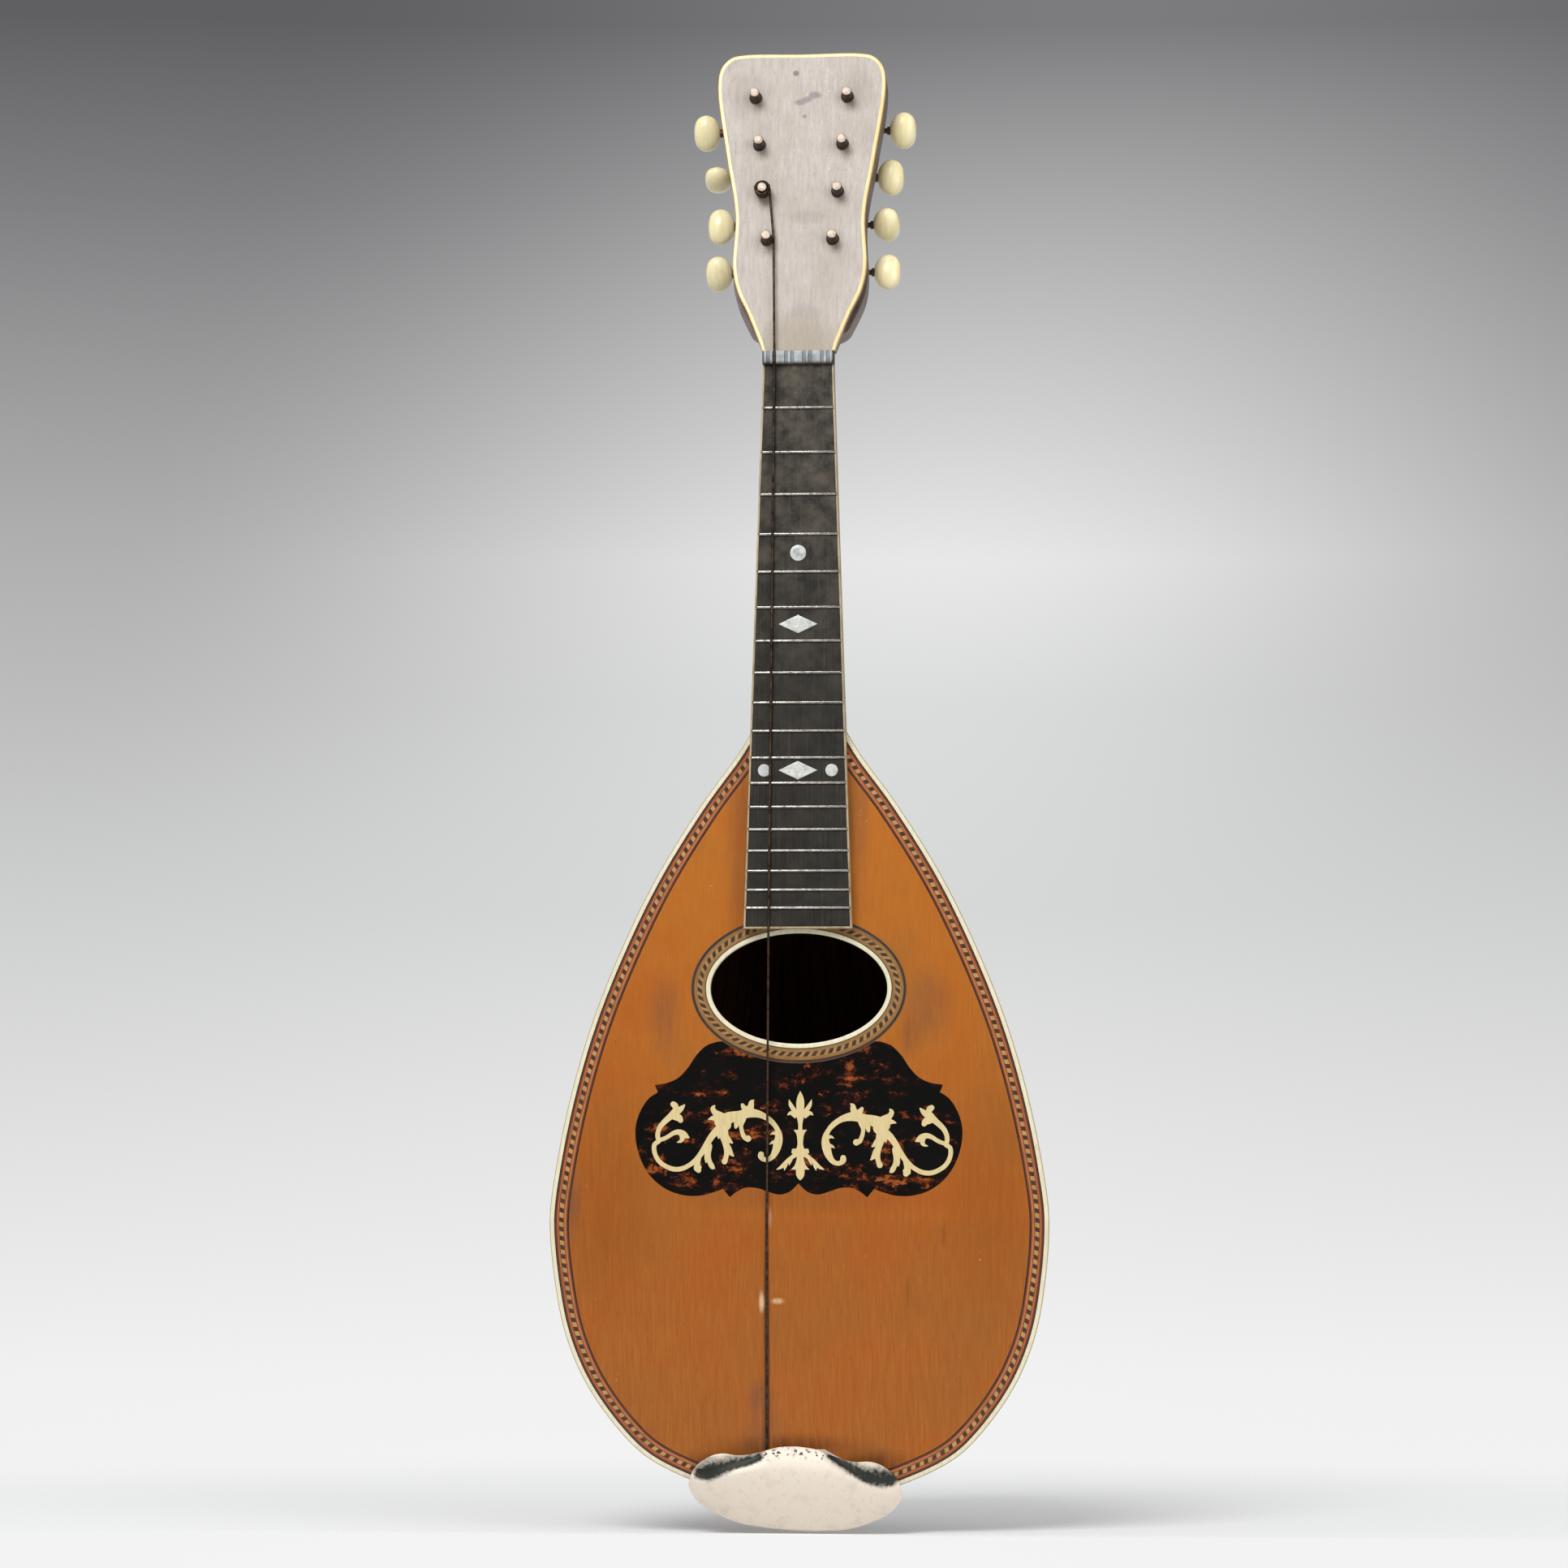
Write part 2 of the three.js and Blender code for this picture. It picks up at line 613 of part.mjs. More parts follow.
// A flat stroke through [x, z, width] points.
function stroke(points) {
  const sides = points.map(([x, z, width], i) => {
    const [beforeX, beforeZ] = points[Math.max(0, i - 1)];
    const [afterX, afterZ] = points[Math.min(points.length - 1, i + 1)];
    const length = Math.hypot(afterX - beforeX, afterZ - beforeZ);
    const outX = ((afterZ - beforeZ) / length) * (width / 2);
    const outZ = (-(afterX - beforeX) / length) * (width / 2);
    return [[x + outX, z + outZ], [x - outX, z - outZ]];
  });
  const outline = [...sides.map(([a]) => a), ...sides.map(([, b]) => b).reverse()];
  return plate(outline, -scrollThickness, 0);
}

function scroll(side, toMiddle, lift) {
  const outerEnd = toMiddle + scrollWidthShare * scrollHeight;
  const strokes = Object.values(scrollShares).map((points) => stroke(points.map(([across, up, width]) => [
    side * (outerEnd - across * scrollHeight),
    guardZ + lift + up * scrollHeight,
    width * scrollHeight,
  ])));
  return joined(...strokes);
}

function ornament() {
  const sized = (side) => ([out, up, width]) => [
    ornamentShift + side * out * ornamentHeight,
    guardZ + ornamentLift + up * ornamentHeight,
    width * ornamentHeight,
  ];
  const pairs = Object.values(ornamentShares)
    .flatMap((points) => [stroke(points.map(sized(1))), stroke(points.map(sized(-1)))]);
  return joined(stroke(spindleShares.map(sized(1))), ...pairs);
}

// Fingerboard
const nutFrontZ = fretZ(0) - nutToBoard;
const nutBackZ = nutFrontZ + nutLength;

// Half width of the fingerboard with its binding at a height.
function boardHalf(z) {
  const share = (nutFrontZ - z) / (nutFrontZ - boardEndZ);
  return (boardWidthNut + share * (boardWidthEnd - boardWidthNut)) / 2;
}

const markers = {
  marker_fifth: { space: 5, across: 0, dot: dotRadius },
  marker_seventh: { space: 7, across: 0 },
  marker_twelfth_left: { space: 12, across: -1, dot: smallDotRadius },
  marker_twelfth_middle: { space: 12, across: 0 },
  marker_twelfth_right: { space: 12, across: 1, dot: smallDotRadius },
};
const sideDotShare = 0.69; // of the fingerboard's half width

function markerOutline({ space, across, dot }, growth) {
  const z = (fretZ(space) + fretZ(space - 1)) / 2;
  const x = across * sideDotShare * boardHalf(z);
  const sides = 14;
  if (dot) return ellipse(dot + growth, dot + growth, x, z, sides);
  const halfX = diamondWidth / 2 + growth * 2;
  const halfZ = diamondHeight / 2 + growth;
  return [[x + halfX, z], [x, z + halfZ], [x - halfX, z], [x, z - halfZ]];
}

function fret(number) {
  const z = fretZ(number);
  const half = boardHalf(z) - boardBindingWidth - fretInset;
  const crown = [[0, -0.5], [0.7, -0.4], [1, 0], [0.7, 0.4], [0, 0.5]];
  const profile = crown.map(([up, along]) => [-boardThickness - up * fretHeight, z + along * fretWidth]);
  const tang = [[-boardThickness + fretHeight, z + fretWidth / 2], [-boardThickness + fretHeight, z - fretWidth / 2]];
  return bar([...profile, ...tang], -half, half);
}

function fingerboard() {
  const edge = boardBindingWidth + seam;
  const low = boardEndZ + edge;
  const lowHalf = boardHalf(low) - edge;
  const highHalf = boardHalf(nutFrontZ) - edge;
  const outline = [[-lowHalf, low], [lowHalf, low], [highHalf, nutFrontZ], [-highHalf, nutFrontZ]];
  const frets = Array.from({ length: fretCount }, (_, i) => fret(i + 1));
  const board = joined(plate(outline, -boardThickness, 0), ...frets);
  return Object.values(markers).reduce((cut, marker) => {
    const room = plate(markerOutline(marker, markerGap), -2 * boardThickness, markerDepth - boardThickness);
    return cut.subtract(room);
  }, board);
}

function fingerboardBinding() {
  const half = (z, distance) => boardHalf(z) - distance;
  const low = boardEndZ + boardBindingWidth;
  return plate([
    [-half(boardEndZ, 0), boardEndZ],
    [half(boardEndZ, 0), boardEndZ],
    [half(nutFrontZ, 0), nutFrontZ],
    [half(nutFrontZ, boardBindingWidth), nutFrontZ],
    [half(low, boardBindingWidth), low],
    [-half(low, boardBindingWidth), low],
    [-half(nutFrontZ, boardBindingWidth), nutFrontZ],
    [-half(nutFrontZ, 0), nutFrontZ],
  ], -boardThickness, 0);
}

// Where a string of a course crosses, from the spacings there.
function stringX(course, pair, courseSpacing, pairSpacing) {
  return (course - (courses - 1) / 2) * courseSpacing + (pair * pairSpacing) / 2;
}

function nut() {
  const body = block([-nutWidth / 2, -nutHeight, nutFrontZ], [nutWidth / 2, 0, nutBackZ]);
  const slots = Array.from({ length: courses }, (_, course) => [-1, 1].map((pair) => {
    const x = stringX(course, pair, courseNut, pairNut);
    return block(
      [x - nutSlotWidth / 2, -2 * nutHeight, nutFrontZ - nutLength],
      [x + nutSlotWidth / 2, nutSlotDepth - nutHeight, nutBackZ + nutLength],
    );
  })).flat();
  return slots.reduce((cut, slot) => cut.subtract(slot), body);
}

// Headstock: in its own frame y is the depth behind its face and z the distance from the nut.
const headTurn = radians(headAngle);
const headZ = nutBackZ + seam + headRise * Math.tan(headTurn);
const headFrame = new THREE.Group();
headFrame.position.set(0, -headRise, headZ);
headFrame.rotation.x = -headTurn;
headFrame.updateMatrix();

const headShares = [
  [0, 0.431], [0.118, 0.6], [0.199, 0.735], [0.28, 0.792], [0.451, 0.768], [0.654, 0.883],
  [0.889, 1], [0.955, 0.965], [0.99, 0.85], [1, 0.7], [1, 0],
];

// Its back half stops above the nut in a shoulder on each side.
const shoulderShares = [
  [0.049, 0.35], [0.054, 0.44], [0.074, 0.57], [0.098, 0.62], [0.134, 0.685], [0.178, 0.75], [0.223, 0.785],
  ...headShares.slice(3),
];

// An outline of the headstock moved inwards, from its lower right over the top to its lower left.
function headOutline(distance, shares = headShares) {
  const right = shares.map(([s, half]) => new THREE.Vector3((half * headWidth) / 2, 0, s * headLength));
  const left = right.slice(0, -1).reverse().map((p) => new THREE.Vector3(-p.x, 0, p.z));
  const curve = new THREE.CatmullRomCurve3([...right, ...left], false, "centripetal");
  const count = 2 * (right.length + left.length - 1);
  return Array.from({ length: count + 1 }, (_, i) => {
    const { x, z } = curve.getPoint(i / count);
    const tangent = curve.getTangent(i / count);
    return [x - distance * tangent.z, Math.max(0, z + distance * tangent.x)];
  });
}

const posts = Array.from({ length: postRows }, (_, row) => ({
  x: postNearX + row * postSpread,
  s: postNearS + row * postSpacing,
}));
const holeSides = 10;

// A round hole or rod along the headstock's depth, whose flats stay outside the radius.
function depthRod(x, s, radius, front, back) {
  const corner = radius / Math.cos(Math.PI / holeSides);
  return plate(ellipse(corner, corner, x, s, holeSides), front, back);
}

function drilled(solid, radius, front, back) {
  return posts.reduce((cut, { x, s }) => cut
    .subtract(depthRod(x, s, radius, front, back))
    .subtract(depthRod(-x, s, radius, front, back)), solid);
}

function veneer() {
  const body = plate(headOutline(headBindingWidth + seam), 0, veneerThickness);
  return drilled(body, postRadius + running, -headThickness, headThickness);
}

function headBinding() {
  return plate([...headOutline(0), ...headOutline(headBindingWidth).reverse()], 0, veneerThickness);
}

function neck() {
  const heelTopZ = bodyLength + heelLength;
  const heelMiddleZ = bodyLength + heelLength / 3;
  const heelMiddleDepth = neckDepthHeel + (heelDepth - neckDepthHeel) / 3;
  const headBack = (z) => headThickness - headRise + (z - headZ) * Math.tan(headTurn);
  const voluteEndZ = headZ + neckDepthNut;
  const voluteMiddleZ = headZ + neckDepthNut / 2;
  const shaft = loft([
    dRing(bodyLength, boardHalf(bodyLength), 0, heelDepth),
    dRing(heelMiddleZ, boardHalf(heelMiddleZ), 0, heelMiddleDepth),
    dRing(heelTopZ, boardHalf(heelTopZ), 0, neckDepthHeel),
    dRing(nutBackZ, boardHalf(nutFrontZ), 0, neckDepthNut),
    dRing(voluteMiddleZ, nutWidth / 2, veneerThickness, (neckDepthNut + headBack(voluteMiddleZ)) / 2),
    dRing(voluteEndZ, nutWidth / 4, headThickness / 2, headBack(voluteEndZ) - seam),
  ]);
  const front = plate(headOutline(0), veneerThickness + seam, shoulderDepth);
  const back = plate(headOutline(0, shoulderShares), shoulderDepth - veneerThickness, headThickness);
  const core = drilled(joined(front, back), postRadius + running, 0, 2 * headThickness);
  return shaft.add(solidOf(geometryOf(core).applyMatrix4(headFrame.matrix)));
}

// Tuning machines: the key's worm lies across below its post and turns the gear behind the plate.
const plateFront = headThickness + seam;
const plateBack = plateFront + plateThickness;
const wormReach = wormRadius + toothHeight;
const keyDepth = plateBack + wormReach + running;
const keyDrop = gearRadius + wormRadius + running;
const gearPitch = (2 * Math.PI * gearRadius) / gearTeeth;
const wormLength = wormLeads * gearPitch;
const earInner = wormLength / 2 + running;

function machinePlate(side) {
  const first = posts[0];
  const last = posts[postRows - 1];
  const slope = postSpread / postSpacing;
  const low = first.s - plateEnd;
  const high = last.s + plateEnd - keyDrop;
  const xAt = (s) => first.x + (s - first.s) * slope;
  const outline = [
    [side * (xAt(low) - plateInner), low],
    [side * (xAt(low) + plateOuter), low],
    [side * (xAt(high) + plateOuter), high],
    [side * (xAt(high) - plateInner), high],
  ];
  const bore = (shaftRadius + running) / Math.cos(Math.PI / 6);
  const ears = posts.flatMap(({ x, s }) => [-1, 1].map((end) => {
    const middle = side * x + end * (earInner + earThickness / 2);
    const z = s - keyDrop;
    const cheek = [
      [plateBack - plateThickness / 2, z - earHalf],
      [keyDepth + earHalf, z - earHalf],
      [keyDepth + earHalf, z + earHalf],
      [plateBack - plateThickness / 2, z + earHalf],
    ];
    const hole = ellipse(bore, bore, keyDepth, z, 6);
    return bar(cheek, middle - earThickness / 2, middle + earThickness / 2, [hole]);
  }));
  return drilled(joined(plate(outline, plateFront, plateBack), ...ears), postRadius + running, 0, plateBack + seam);
}

function post(x, s) {
  const sides = 8;
  const top = -postHeight;
  const gearFront = keyDepth - gearThickness / 2;
  const collarBack = -running;
  const profile = [
    [0, top], [postRadius, top], [postRadius, collarBack - collarHeight], [collarRadius, collarBack - collarHeight],
    [collarRadius, collarBack], [postRadius, collarBack], [postRadius, gearFront + gearThickness / 2],
    [0, gearFront + gearThickness / 2],
  ];
  const turned = new THREE.LatheGeometry(profile.map(([r, y]) => new THREE.Vector2(r, y)), sides);
  const teeth = Array.from({ length: 2 * gearTeeth }, (_, i) => {
    const turn = -Math.PI / 2 + (i * Math.PI) / gearTeeth;
    const radius = gearRadius + (i % 2 ? toothHeight : -toothHeight);
    return [x + radius * Math.cos(turn), s + radius * Math.sin(turn)];
  });
  return solidOf(turned.translate(x, 0, s)).add(plate(teeth, gearFront, gearFront + gearThickness));
}

// A single right-hand thread: a round section set off its axis that goes round once in each lead.
function worm(middle, s) {
  const stepsPerLead = 6;
  const sides = 8;
  const count = wormLeads * stepsPerLead;
  return loft(Array.from({ length: count + 1 }, (_, i) => {
    const along = (i / count - 1 / 2) * wormLength;
    const phase = Math.PI / 2 + (2 * Math.PI * along) / gearPitch;
    return Array.from({ length: sides }, (_, k) => {
      const turn = (2 * Math.PI * k) / sides;
      return [
        middle + along,
        keyDepth + wormRadius * Math.cos(turn) + toothHeight * Math.cos(phase),
        s + wormRadius * Math.sin(turn) + toothHeight * Math.sin(phase),
      ];
    });
  }));
}

const buttonShares = [
  [0, 0], [0.26, 0], [0.6, 0.1], [0.88, 0.28], [1, 0.54], [0.88, 0.8], [0.56, 0.95], [0, 1],
];

function key(side, row, turn) {
  const { x, s } = posts[row];
  const middle = side * x;
  const z = s - keyDrop;
  const start = buttonStarts[row];
  const tail = earInner + earThickness + shaftTail;
  const reach = start + buttonLength / 2;
  const ends = side > 0 ? [middle - tail, middle + reach] : [middle - reach, middle + tail];
  const rod = bar(ellipse(shaftRadius, shaftRadius, keyDepth, z, 6), ...ends);
  const profile = buttonShares.map(([r, along]) => new THREE.Vector2((r * buttonWidth) / 2, along * buttonLength));
  const button = new THREE.LatheGeometry(profile, 12)
    .scale(1, 1, buttonThickness / buttonWidth)
    .rotateZ(-side * Math.PI / 2)
    .rotateX(Math.PI / 2 + radians(turn))
    .translate(middle + side * start, keyDepth, z);
  return joined(rod, worm(middle, z), solidOf(button));
}

// Tailpiece
const legGap = seam;
const legFront = legGap + sheetThickness;

function tailpieceBase() {
  const half = tailpieceWidth / 2;
  const edgeY = cant(0);
  const dropY = edgeY + tailpieceDrop;
  const plateSide = [
    [cant(tailpieceReach) - legGap, tailpieceReach],
    [edgeY - legGap, -legGap],
    [dropY, -legGap],
    [dropY, -legFront],
    [edgeY - legFront, -legFront],
    [cant(tailpieceReach) - legFront, tailpieceReach],
  ];
  const leg = bar(plateSide, -half, half);
  const standing = (low, length, height) => [
    [cant(low) - legGap - sheetThickness / 2, low],
    [cant(low) - legFront - height, low],
    [cant(low + length) - legFront - height, low + length],
    [cant(low + length) - legGap - sheetThickness / 2, low + length],
  ];
  const hooks = Array.from({ length: courses }, (_, course) => [-1, 1].map((pair) => {
    const x = stringX(course, pair, courseTail, pairTail);
    return bar(standing(hookToTail, hookLength, hookHeight), x - hookWidth / 2, x + hookWidth / 2);
  })).flat();
  const clipHeight = coverInside(clipToTail) - legFront - running;
  const clip = bar(standing(clipToTail, clipLength, clipHeight), -clipWidth / 2, clipWidth / 2);
  return joined(leg, clip, ...hooks);
}

// Cover outline: [out from the middle, bottom, top], as shares of its half width and height
const coverShares = [
  [0, 0, 1], [0.17, 0.004, 0.98], [0.32, 0.018, 0.92], [0.44, 0.036, 0.876], [0.56, 0.07, 0.858],
  [0.68, 0.127, 0.87], [0.78, 0.185, 0.843], [0.89, 0.27, 0.756], [0.96, 0.37, 0.654], [1, 0.47, 0.49],
];
const coverCrownShare = 0.52;
const coverSpreadShare = 0.6;

// How far the cover stands in front of the soundboard's plane at a height on its middle line.
function coverRise(z) {
  const share = (z + coverDrop) / coverHeight;
  return coverStand * (1 - ((share - coverCrownShare) / coverSpreadShare) ** 2);
}

// Height of the cover's inner side in front of the soundboard's plane.
function coverInside(z) {
  return coverRise(z) - sheetThickness;
}

function tailpieceCover() {
  const columns = [...coverShares.slice(1).reverse().map(([x, low, high]) => [-x, low, high]), ...coverShares];
  const rows = 6;
  const grid = (sink) => columns.map(([out, low, high]) => Array.from({ length: rows + 1 }, (_, k) => {
    const z = (low + ((high - low) * k) / rows) * coverHeight - coverDrop;
    return [(out * coverWidth) / 2, cant(z) - coverRise(z) + coverCurl * out ** 4 + sink, z];
  }));
  return sheet(grid(0), grid(sheetThickness));
}

// String: wound on its post, over the nut, down the fingerboard and the soundboard, to its hook
function headPoint(x, depth, s) {
  return new THREE.Vector3(x, depth, s).applyMatrix4(headFrame.matrix);
}

function stringPoints() {
  const { x, s } = posts[strungRow];
  const passed = posts[strungRow - 1];
  const radius = postRadius + seam + wireRadius;
  const low = -running - collarHeight - running - wireRadius;
  const diameter = 2 * wireRadius;
  const high = low - windingTurns * windingRise;
  const winding = Array.from({ length: windingTurns * windingSteps + 1 }, (_, i) => {
    const left = windingTurns - i / windingSteps;
    const turn = 2 * Math.PI * left;
    return headPoint(radius * Math.cos(turn) - x, low - left * windingRise, s + radius * Math.sin(turn));
  });
  const nutX = stringX(strungCourse, 1, courseNut, pairNut);
  const tailX = stringX(strungCourse, 1, courseTail, pairTail);
  const hookZ = hookToTail + hookLength + running;
  const xAt = (z) => tailX + ((nutX - tailX) * (z - hookZ)) / (nutFrontZ - hookZ);
  const at = (z, lift) => new THREE.Vector3(xAt(z), cant(z) - lift - wireRadius, z);
  const nutLift = nutHeight - nutSlotDepth + wireGap;
  const fretLift = boardThickness + fretHeight + wireGap;
  const lastFret = fretZ(fretCount);
  const span = nutFrontZ - lastFret;
  return [
    headPoint(radius - x, high, s + diameter),
    ...winding,
    headPoint(radius - x, low, s - diameter),
    headPoint(radius - passed.x, low, passed.s),
    at(nutBackZ, nutLift),
    at(nutFrontZ, nutLift),
    at(nutFrontZ - span / 3, nutLift + (fretLift - nutLift) / 3),
    at(lastFret + span / 3, fretLift + (nutLift - fretLift) / 3),
    at(lastFret, fretLift),
    at((lastFret + cantHeight) / 2, (fretLift + wireGap) / 2),
    at(cantHeight, wireGap),
    at((cantHeight + tailpieceReach) / 2, wireGap),
    at(tailpieceReach + legFront + hookHeight, wireGap),
    at(tailpieceReach, legFront + wireGap),
    at(hookZ, legFront + wireGap),
  ];
}

// A round wire through points, with its section carried along without twisting.
function wire(points, radius, sides) {
  const side = new THREE.Vector3(0, 1, 0);
  return loft(points.map((point, i) => {
    const before = points[Math.max(0, i - 1)];
    const after = points[Math.min(points.length - 1, i + 1)];
    const tangent = after.clone().sub(before).normalize();
    side.addScaledVector(tangent, -side.dot(tangent)).normalize();
    const other = tangent.clone().cross(side);
    return Array.from({ length: sides }, (_, k) => {
      const turn = (2 * Math.PI * k) / sides;
      return point.clone()
        .addScaledVector(side, radius * Math.cos(turn))
        .addScaledVector(other, radius * Math.sin(turn))
        .toArray();
    });
  }));
}

// Least distance between the surfaces of two turns of the string.
function leastGap(points) {
  let least = Infinity;
  points.forEach((a, i) => points.slice(i + windingSteps / 2).forEach((b) => {
    least = Math.min(least, a.distanceTo(b) - 2 * wireRadius);
  }));
  return least;
}

const mandolin = new THREE.Group();
mandolin.add(headFrame);

function add(name, solid, finish, parent = mandolin) {
  const mesh = new THREE.Mesh(geometryOf(solid), new THREE.MeshStandardMaterial(finish));
  mesh.name = name;
  parent.add(mesh);
  return mesh;
}

// Body
add("soundboard", soundboard(), spruce);
for (let i = 0; i < ribCount; i += 1) {
  add(`rib_${String(i + 1).padStart(2, "0")}`, rib(i), rosewood);
}
add("tail_cap", tailCap(), rosewood);
add("tail_block", tailBlock(), paleWood);
add("neck_block", neckBlock(), paleWood);
add("lining_left", lining(-1), paleWood);
add("lining_right", lining(1), paleWood);
const braceGap = soundholeHalfHeight + holeBindingWidth + rosetteWidth + braceWidth;
add("brace_upper", brace(holeZ + braceGap), paleWood);
add("brace_lower", brace(holeZ - braceGap), paleWood);
add("brace_bridge", brace(cantHeight + braceWidth), paleWood);

// Edging and inlays of the soundboard
add("top_binding", edgeStrip(0, bindingWidth, 0, topThickness), ivoroid);
add("top_purfling", edgeStrip(bindingWidth + seam, bindingWidth + purflingWidth, 0, inlayDepth), marquetry);
add("soundhole_binding", ovalRing(0, holeBindingWidth, topThickness), ivoroid);
const rosetteInside = holeBindingWidth + seam;
add("rosette", ovalRing(rosetteInside, holeBindingWidth + rosetteWidth, inlayDepth), marquetry);
add("pickguard", guard(), tortoiseshell);
add("scroll_left", scroll(-1, scrollLeftToMiddle, scrollLeftLift), ivoroid);
add("scroll_right", scroll(1, scrollRightToMiddle, scrollRightLift), ivoroid);
add("scroll_middle", ornament(), ivoroid);

// Neck
add("neck", neck(), mahogany);
add("fingerboard", fingerboard(), ebony);
add("fingerboard_binding", fingerboardBinding(), ivoroid);
for (const [name, marker] of Object.entries(markers)) {
  add(name, plate(markerOutline(marker, 0), -boardThickness, markerDepth - boardThickness), pearl);
}
add("nut", nut(), ebony);
add("headstock_veneer", veneer(), greyVeneer, headFrame);
add("headstock_binding", headBinding(), ivoroid, headFrame);

// Tuning machines
for (const [side, word, turns] of [[-1, "left", buttonTurnsLeft], [1, "right", buttonTurnsRight]]) {
  add(`tuner_plate_${word}`, machinePlate(side), brass, headFrame);
  posts.forEach(({ x, s }, row) => {
    add(`post_${word}_${row + 1}`, post(side * x, s), agedSteel, headFrame);
    add(`key_${word}_${row + 1}`, key(side, row, turns[row]), ivoroid, headFrame);
  });
}

// Tailpiece and string
add("tailpiece_base", tailpieceBase(), platedBrass);
const cover = add("tailpiece_cover", tailpieceCover(), platedBrass);
cover.rotation.y = radians(coverTilt);
cover.position.x = coverShift;
const route = stringPoints();
add("string", wire(route, wireRadius, 6), woundWire);
console.log(`least gap between turns of the string: ${leastGap(route).toFixed(2)} mm`);

export default mandolin;
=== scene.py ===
import math

import bmesh
import bpy
from mathutils import Matrix, Vector


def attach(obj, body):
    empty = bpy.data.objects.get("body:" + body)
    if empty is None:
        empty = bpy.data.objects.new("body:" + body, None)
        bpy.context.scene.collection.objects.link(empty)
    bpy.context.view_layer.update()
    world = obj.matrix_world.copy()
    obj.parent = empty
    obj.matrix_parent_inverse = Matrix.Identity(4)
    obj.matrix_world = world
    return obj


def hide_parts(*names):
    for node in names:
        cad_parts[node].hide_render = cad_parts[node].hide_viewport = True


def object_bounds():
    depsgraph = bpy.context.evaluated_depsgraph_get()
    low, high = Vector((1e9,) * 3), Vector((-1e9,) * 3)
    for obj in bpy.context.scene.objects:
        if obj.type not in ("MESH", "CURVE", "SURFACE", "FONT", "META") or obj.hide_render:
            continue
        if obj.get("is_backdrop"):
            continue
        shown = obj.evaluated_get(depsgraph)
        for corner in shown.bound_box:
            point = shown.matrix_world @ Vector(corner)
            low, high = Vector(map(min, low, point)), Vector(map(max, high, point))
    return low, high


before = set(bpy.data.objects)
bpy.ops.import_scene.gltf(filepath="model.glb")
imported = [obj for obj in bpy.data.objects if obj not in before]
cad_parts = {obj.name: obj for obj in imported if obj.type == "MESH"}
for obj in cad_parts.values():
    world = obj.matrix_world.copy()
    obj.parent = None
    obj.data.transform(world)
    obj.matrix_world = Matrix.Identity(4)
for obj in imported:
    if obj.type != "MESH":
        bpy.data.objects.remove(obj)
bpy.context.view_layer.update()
mm = 0.001
sides = ((-1, "left"), (1, "right"))
shift = Matrix.Translation


def rotation(degrees, axis):
    return Matrix.Rotation(math.radians(degrees), 4, axis)


def addObject(name, data):
    made = bpy.data.objects.new(name, data)
    bpy.context.scene.collection.objects.link(made)
    return made


# Camera first: a long lens, a little below the middle of the instrument and to its right
view = {"place": (0.1565, -1.991, 0.1085), "yaw": 4.66, "pitch": 4.84, "roll": 0.08, "lens": 118.66}
cameraData = bpy.data.cameras.new("camera")
cameraData.lens = view["lens"]
cameraData.sensor_width = 36
camera = addObject("camera", cameraData)
camera.matrix_world = (shift(view["place"]) @ rotation(view["yaw"], "Z") @ rotation(90 + view["pitch"], "X")
                       @ rotation(view["roll"], "Z"))
bpy.context.scene.camera = camera
print("camera placed")


# Small tools for nodes and meshes

def linear(colour):
    channels = [int(colour[i:i + 2], 16) / 255 for i in (0, 2, 4)]
    return [c / 12.92 if c <= 0.04045 else ((c + 0.055) / 1.055) ** 2.4 for c in channels] + [1]


# Adds a node; its inputs are in a list in their own order or by name, and each is a socket or a node's outputs
# to link, a colour in hex or a plain value
def addNode(tree, kind, inputs=(), **settings):
    node = tree.nodes.new("ShaderNode" + kind)
    for key, value in settings.items():
        if key == "stops":
            elements = node.color_ramp.elements
            while len(elements) < len(value):
                elements.new(0.5)
            for element, (place, colour) in zip(elements, value):
                element.position = place
                element.color = linear(colour)
        elif key == "interpolation":
            node.color_ramp.interpolation = value
        else:
            setattr(node, key, value)
    for key, value in inputs.items() if isinstance(inputs, dict) else enumerate(inputs):
        if isinstance(value, bpy.types.bpy_prop_collection):
            value = value[0]
        if isinstance(value, bpy.types.NodeSocket):
            tree.links.new(value, node.inputs[key])
        else:
            node.inputs[key].default_value = linear(value) if isinstance(value, str) else value
    return node.outputs


def newTree(name):
    material = bpy.data.materials.new(name)
    material.use_nodes = True
    material.node_tree.nodes.clear()
    return material, material.node_tree, addNode(material.node_tree, "TexCoord")


# Noise drawn out by its own scale along each axis
def streaks(tree, spot, scale, detail, roughness=0.5):
    drawn = addNode(tree, "Mapping", {"Vector": spot, "Scale": scale})
    return addNode(tree, "TexNoise", {"Vector": drawn, "Scale": 1, "Detail": detail, "Roughness": roughness})


# Places pushed about by noise, so that a grain wavers
def wavering(tree, spot, scale, detail, push, roughness=0.5):
    noise = addNode(tree, "TexNoise", {"Vector": spot, "Scale": scale, "Detail": detail, "Roughness": roughness})
    return addNode(tree, "VectorMath", [noise["Color"], push, spot], operation="MULTIPLY_ADD")


# How far a place is from a middle (x, z), as a share of half sizes, in mm
def farFrom(tree, spot, middle, half):
    off = addNode(tree, "VectorMath", [spot, (middle[0] * mm, 0, middle[1] * mm)], operation="SUBTRACT")
    scaled = addNode(tree, "VectorMath", [off, (1000 / half[0], 0, 1000 / half[1])], operation="MULTIPLY")
    return addNode(tree, "VectorMath", [scaled], operation="LENGTH")["Value"]


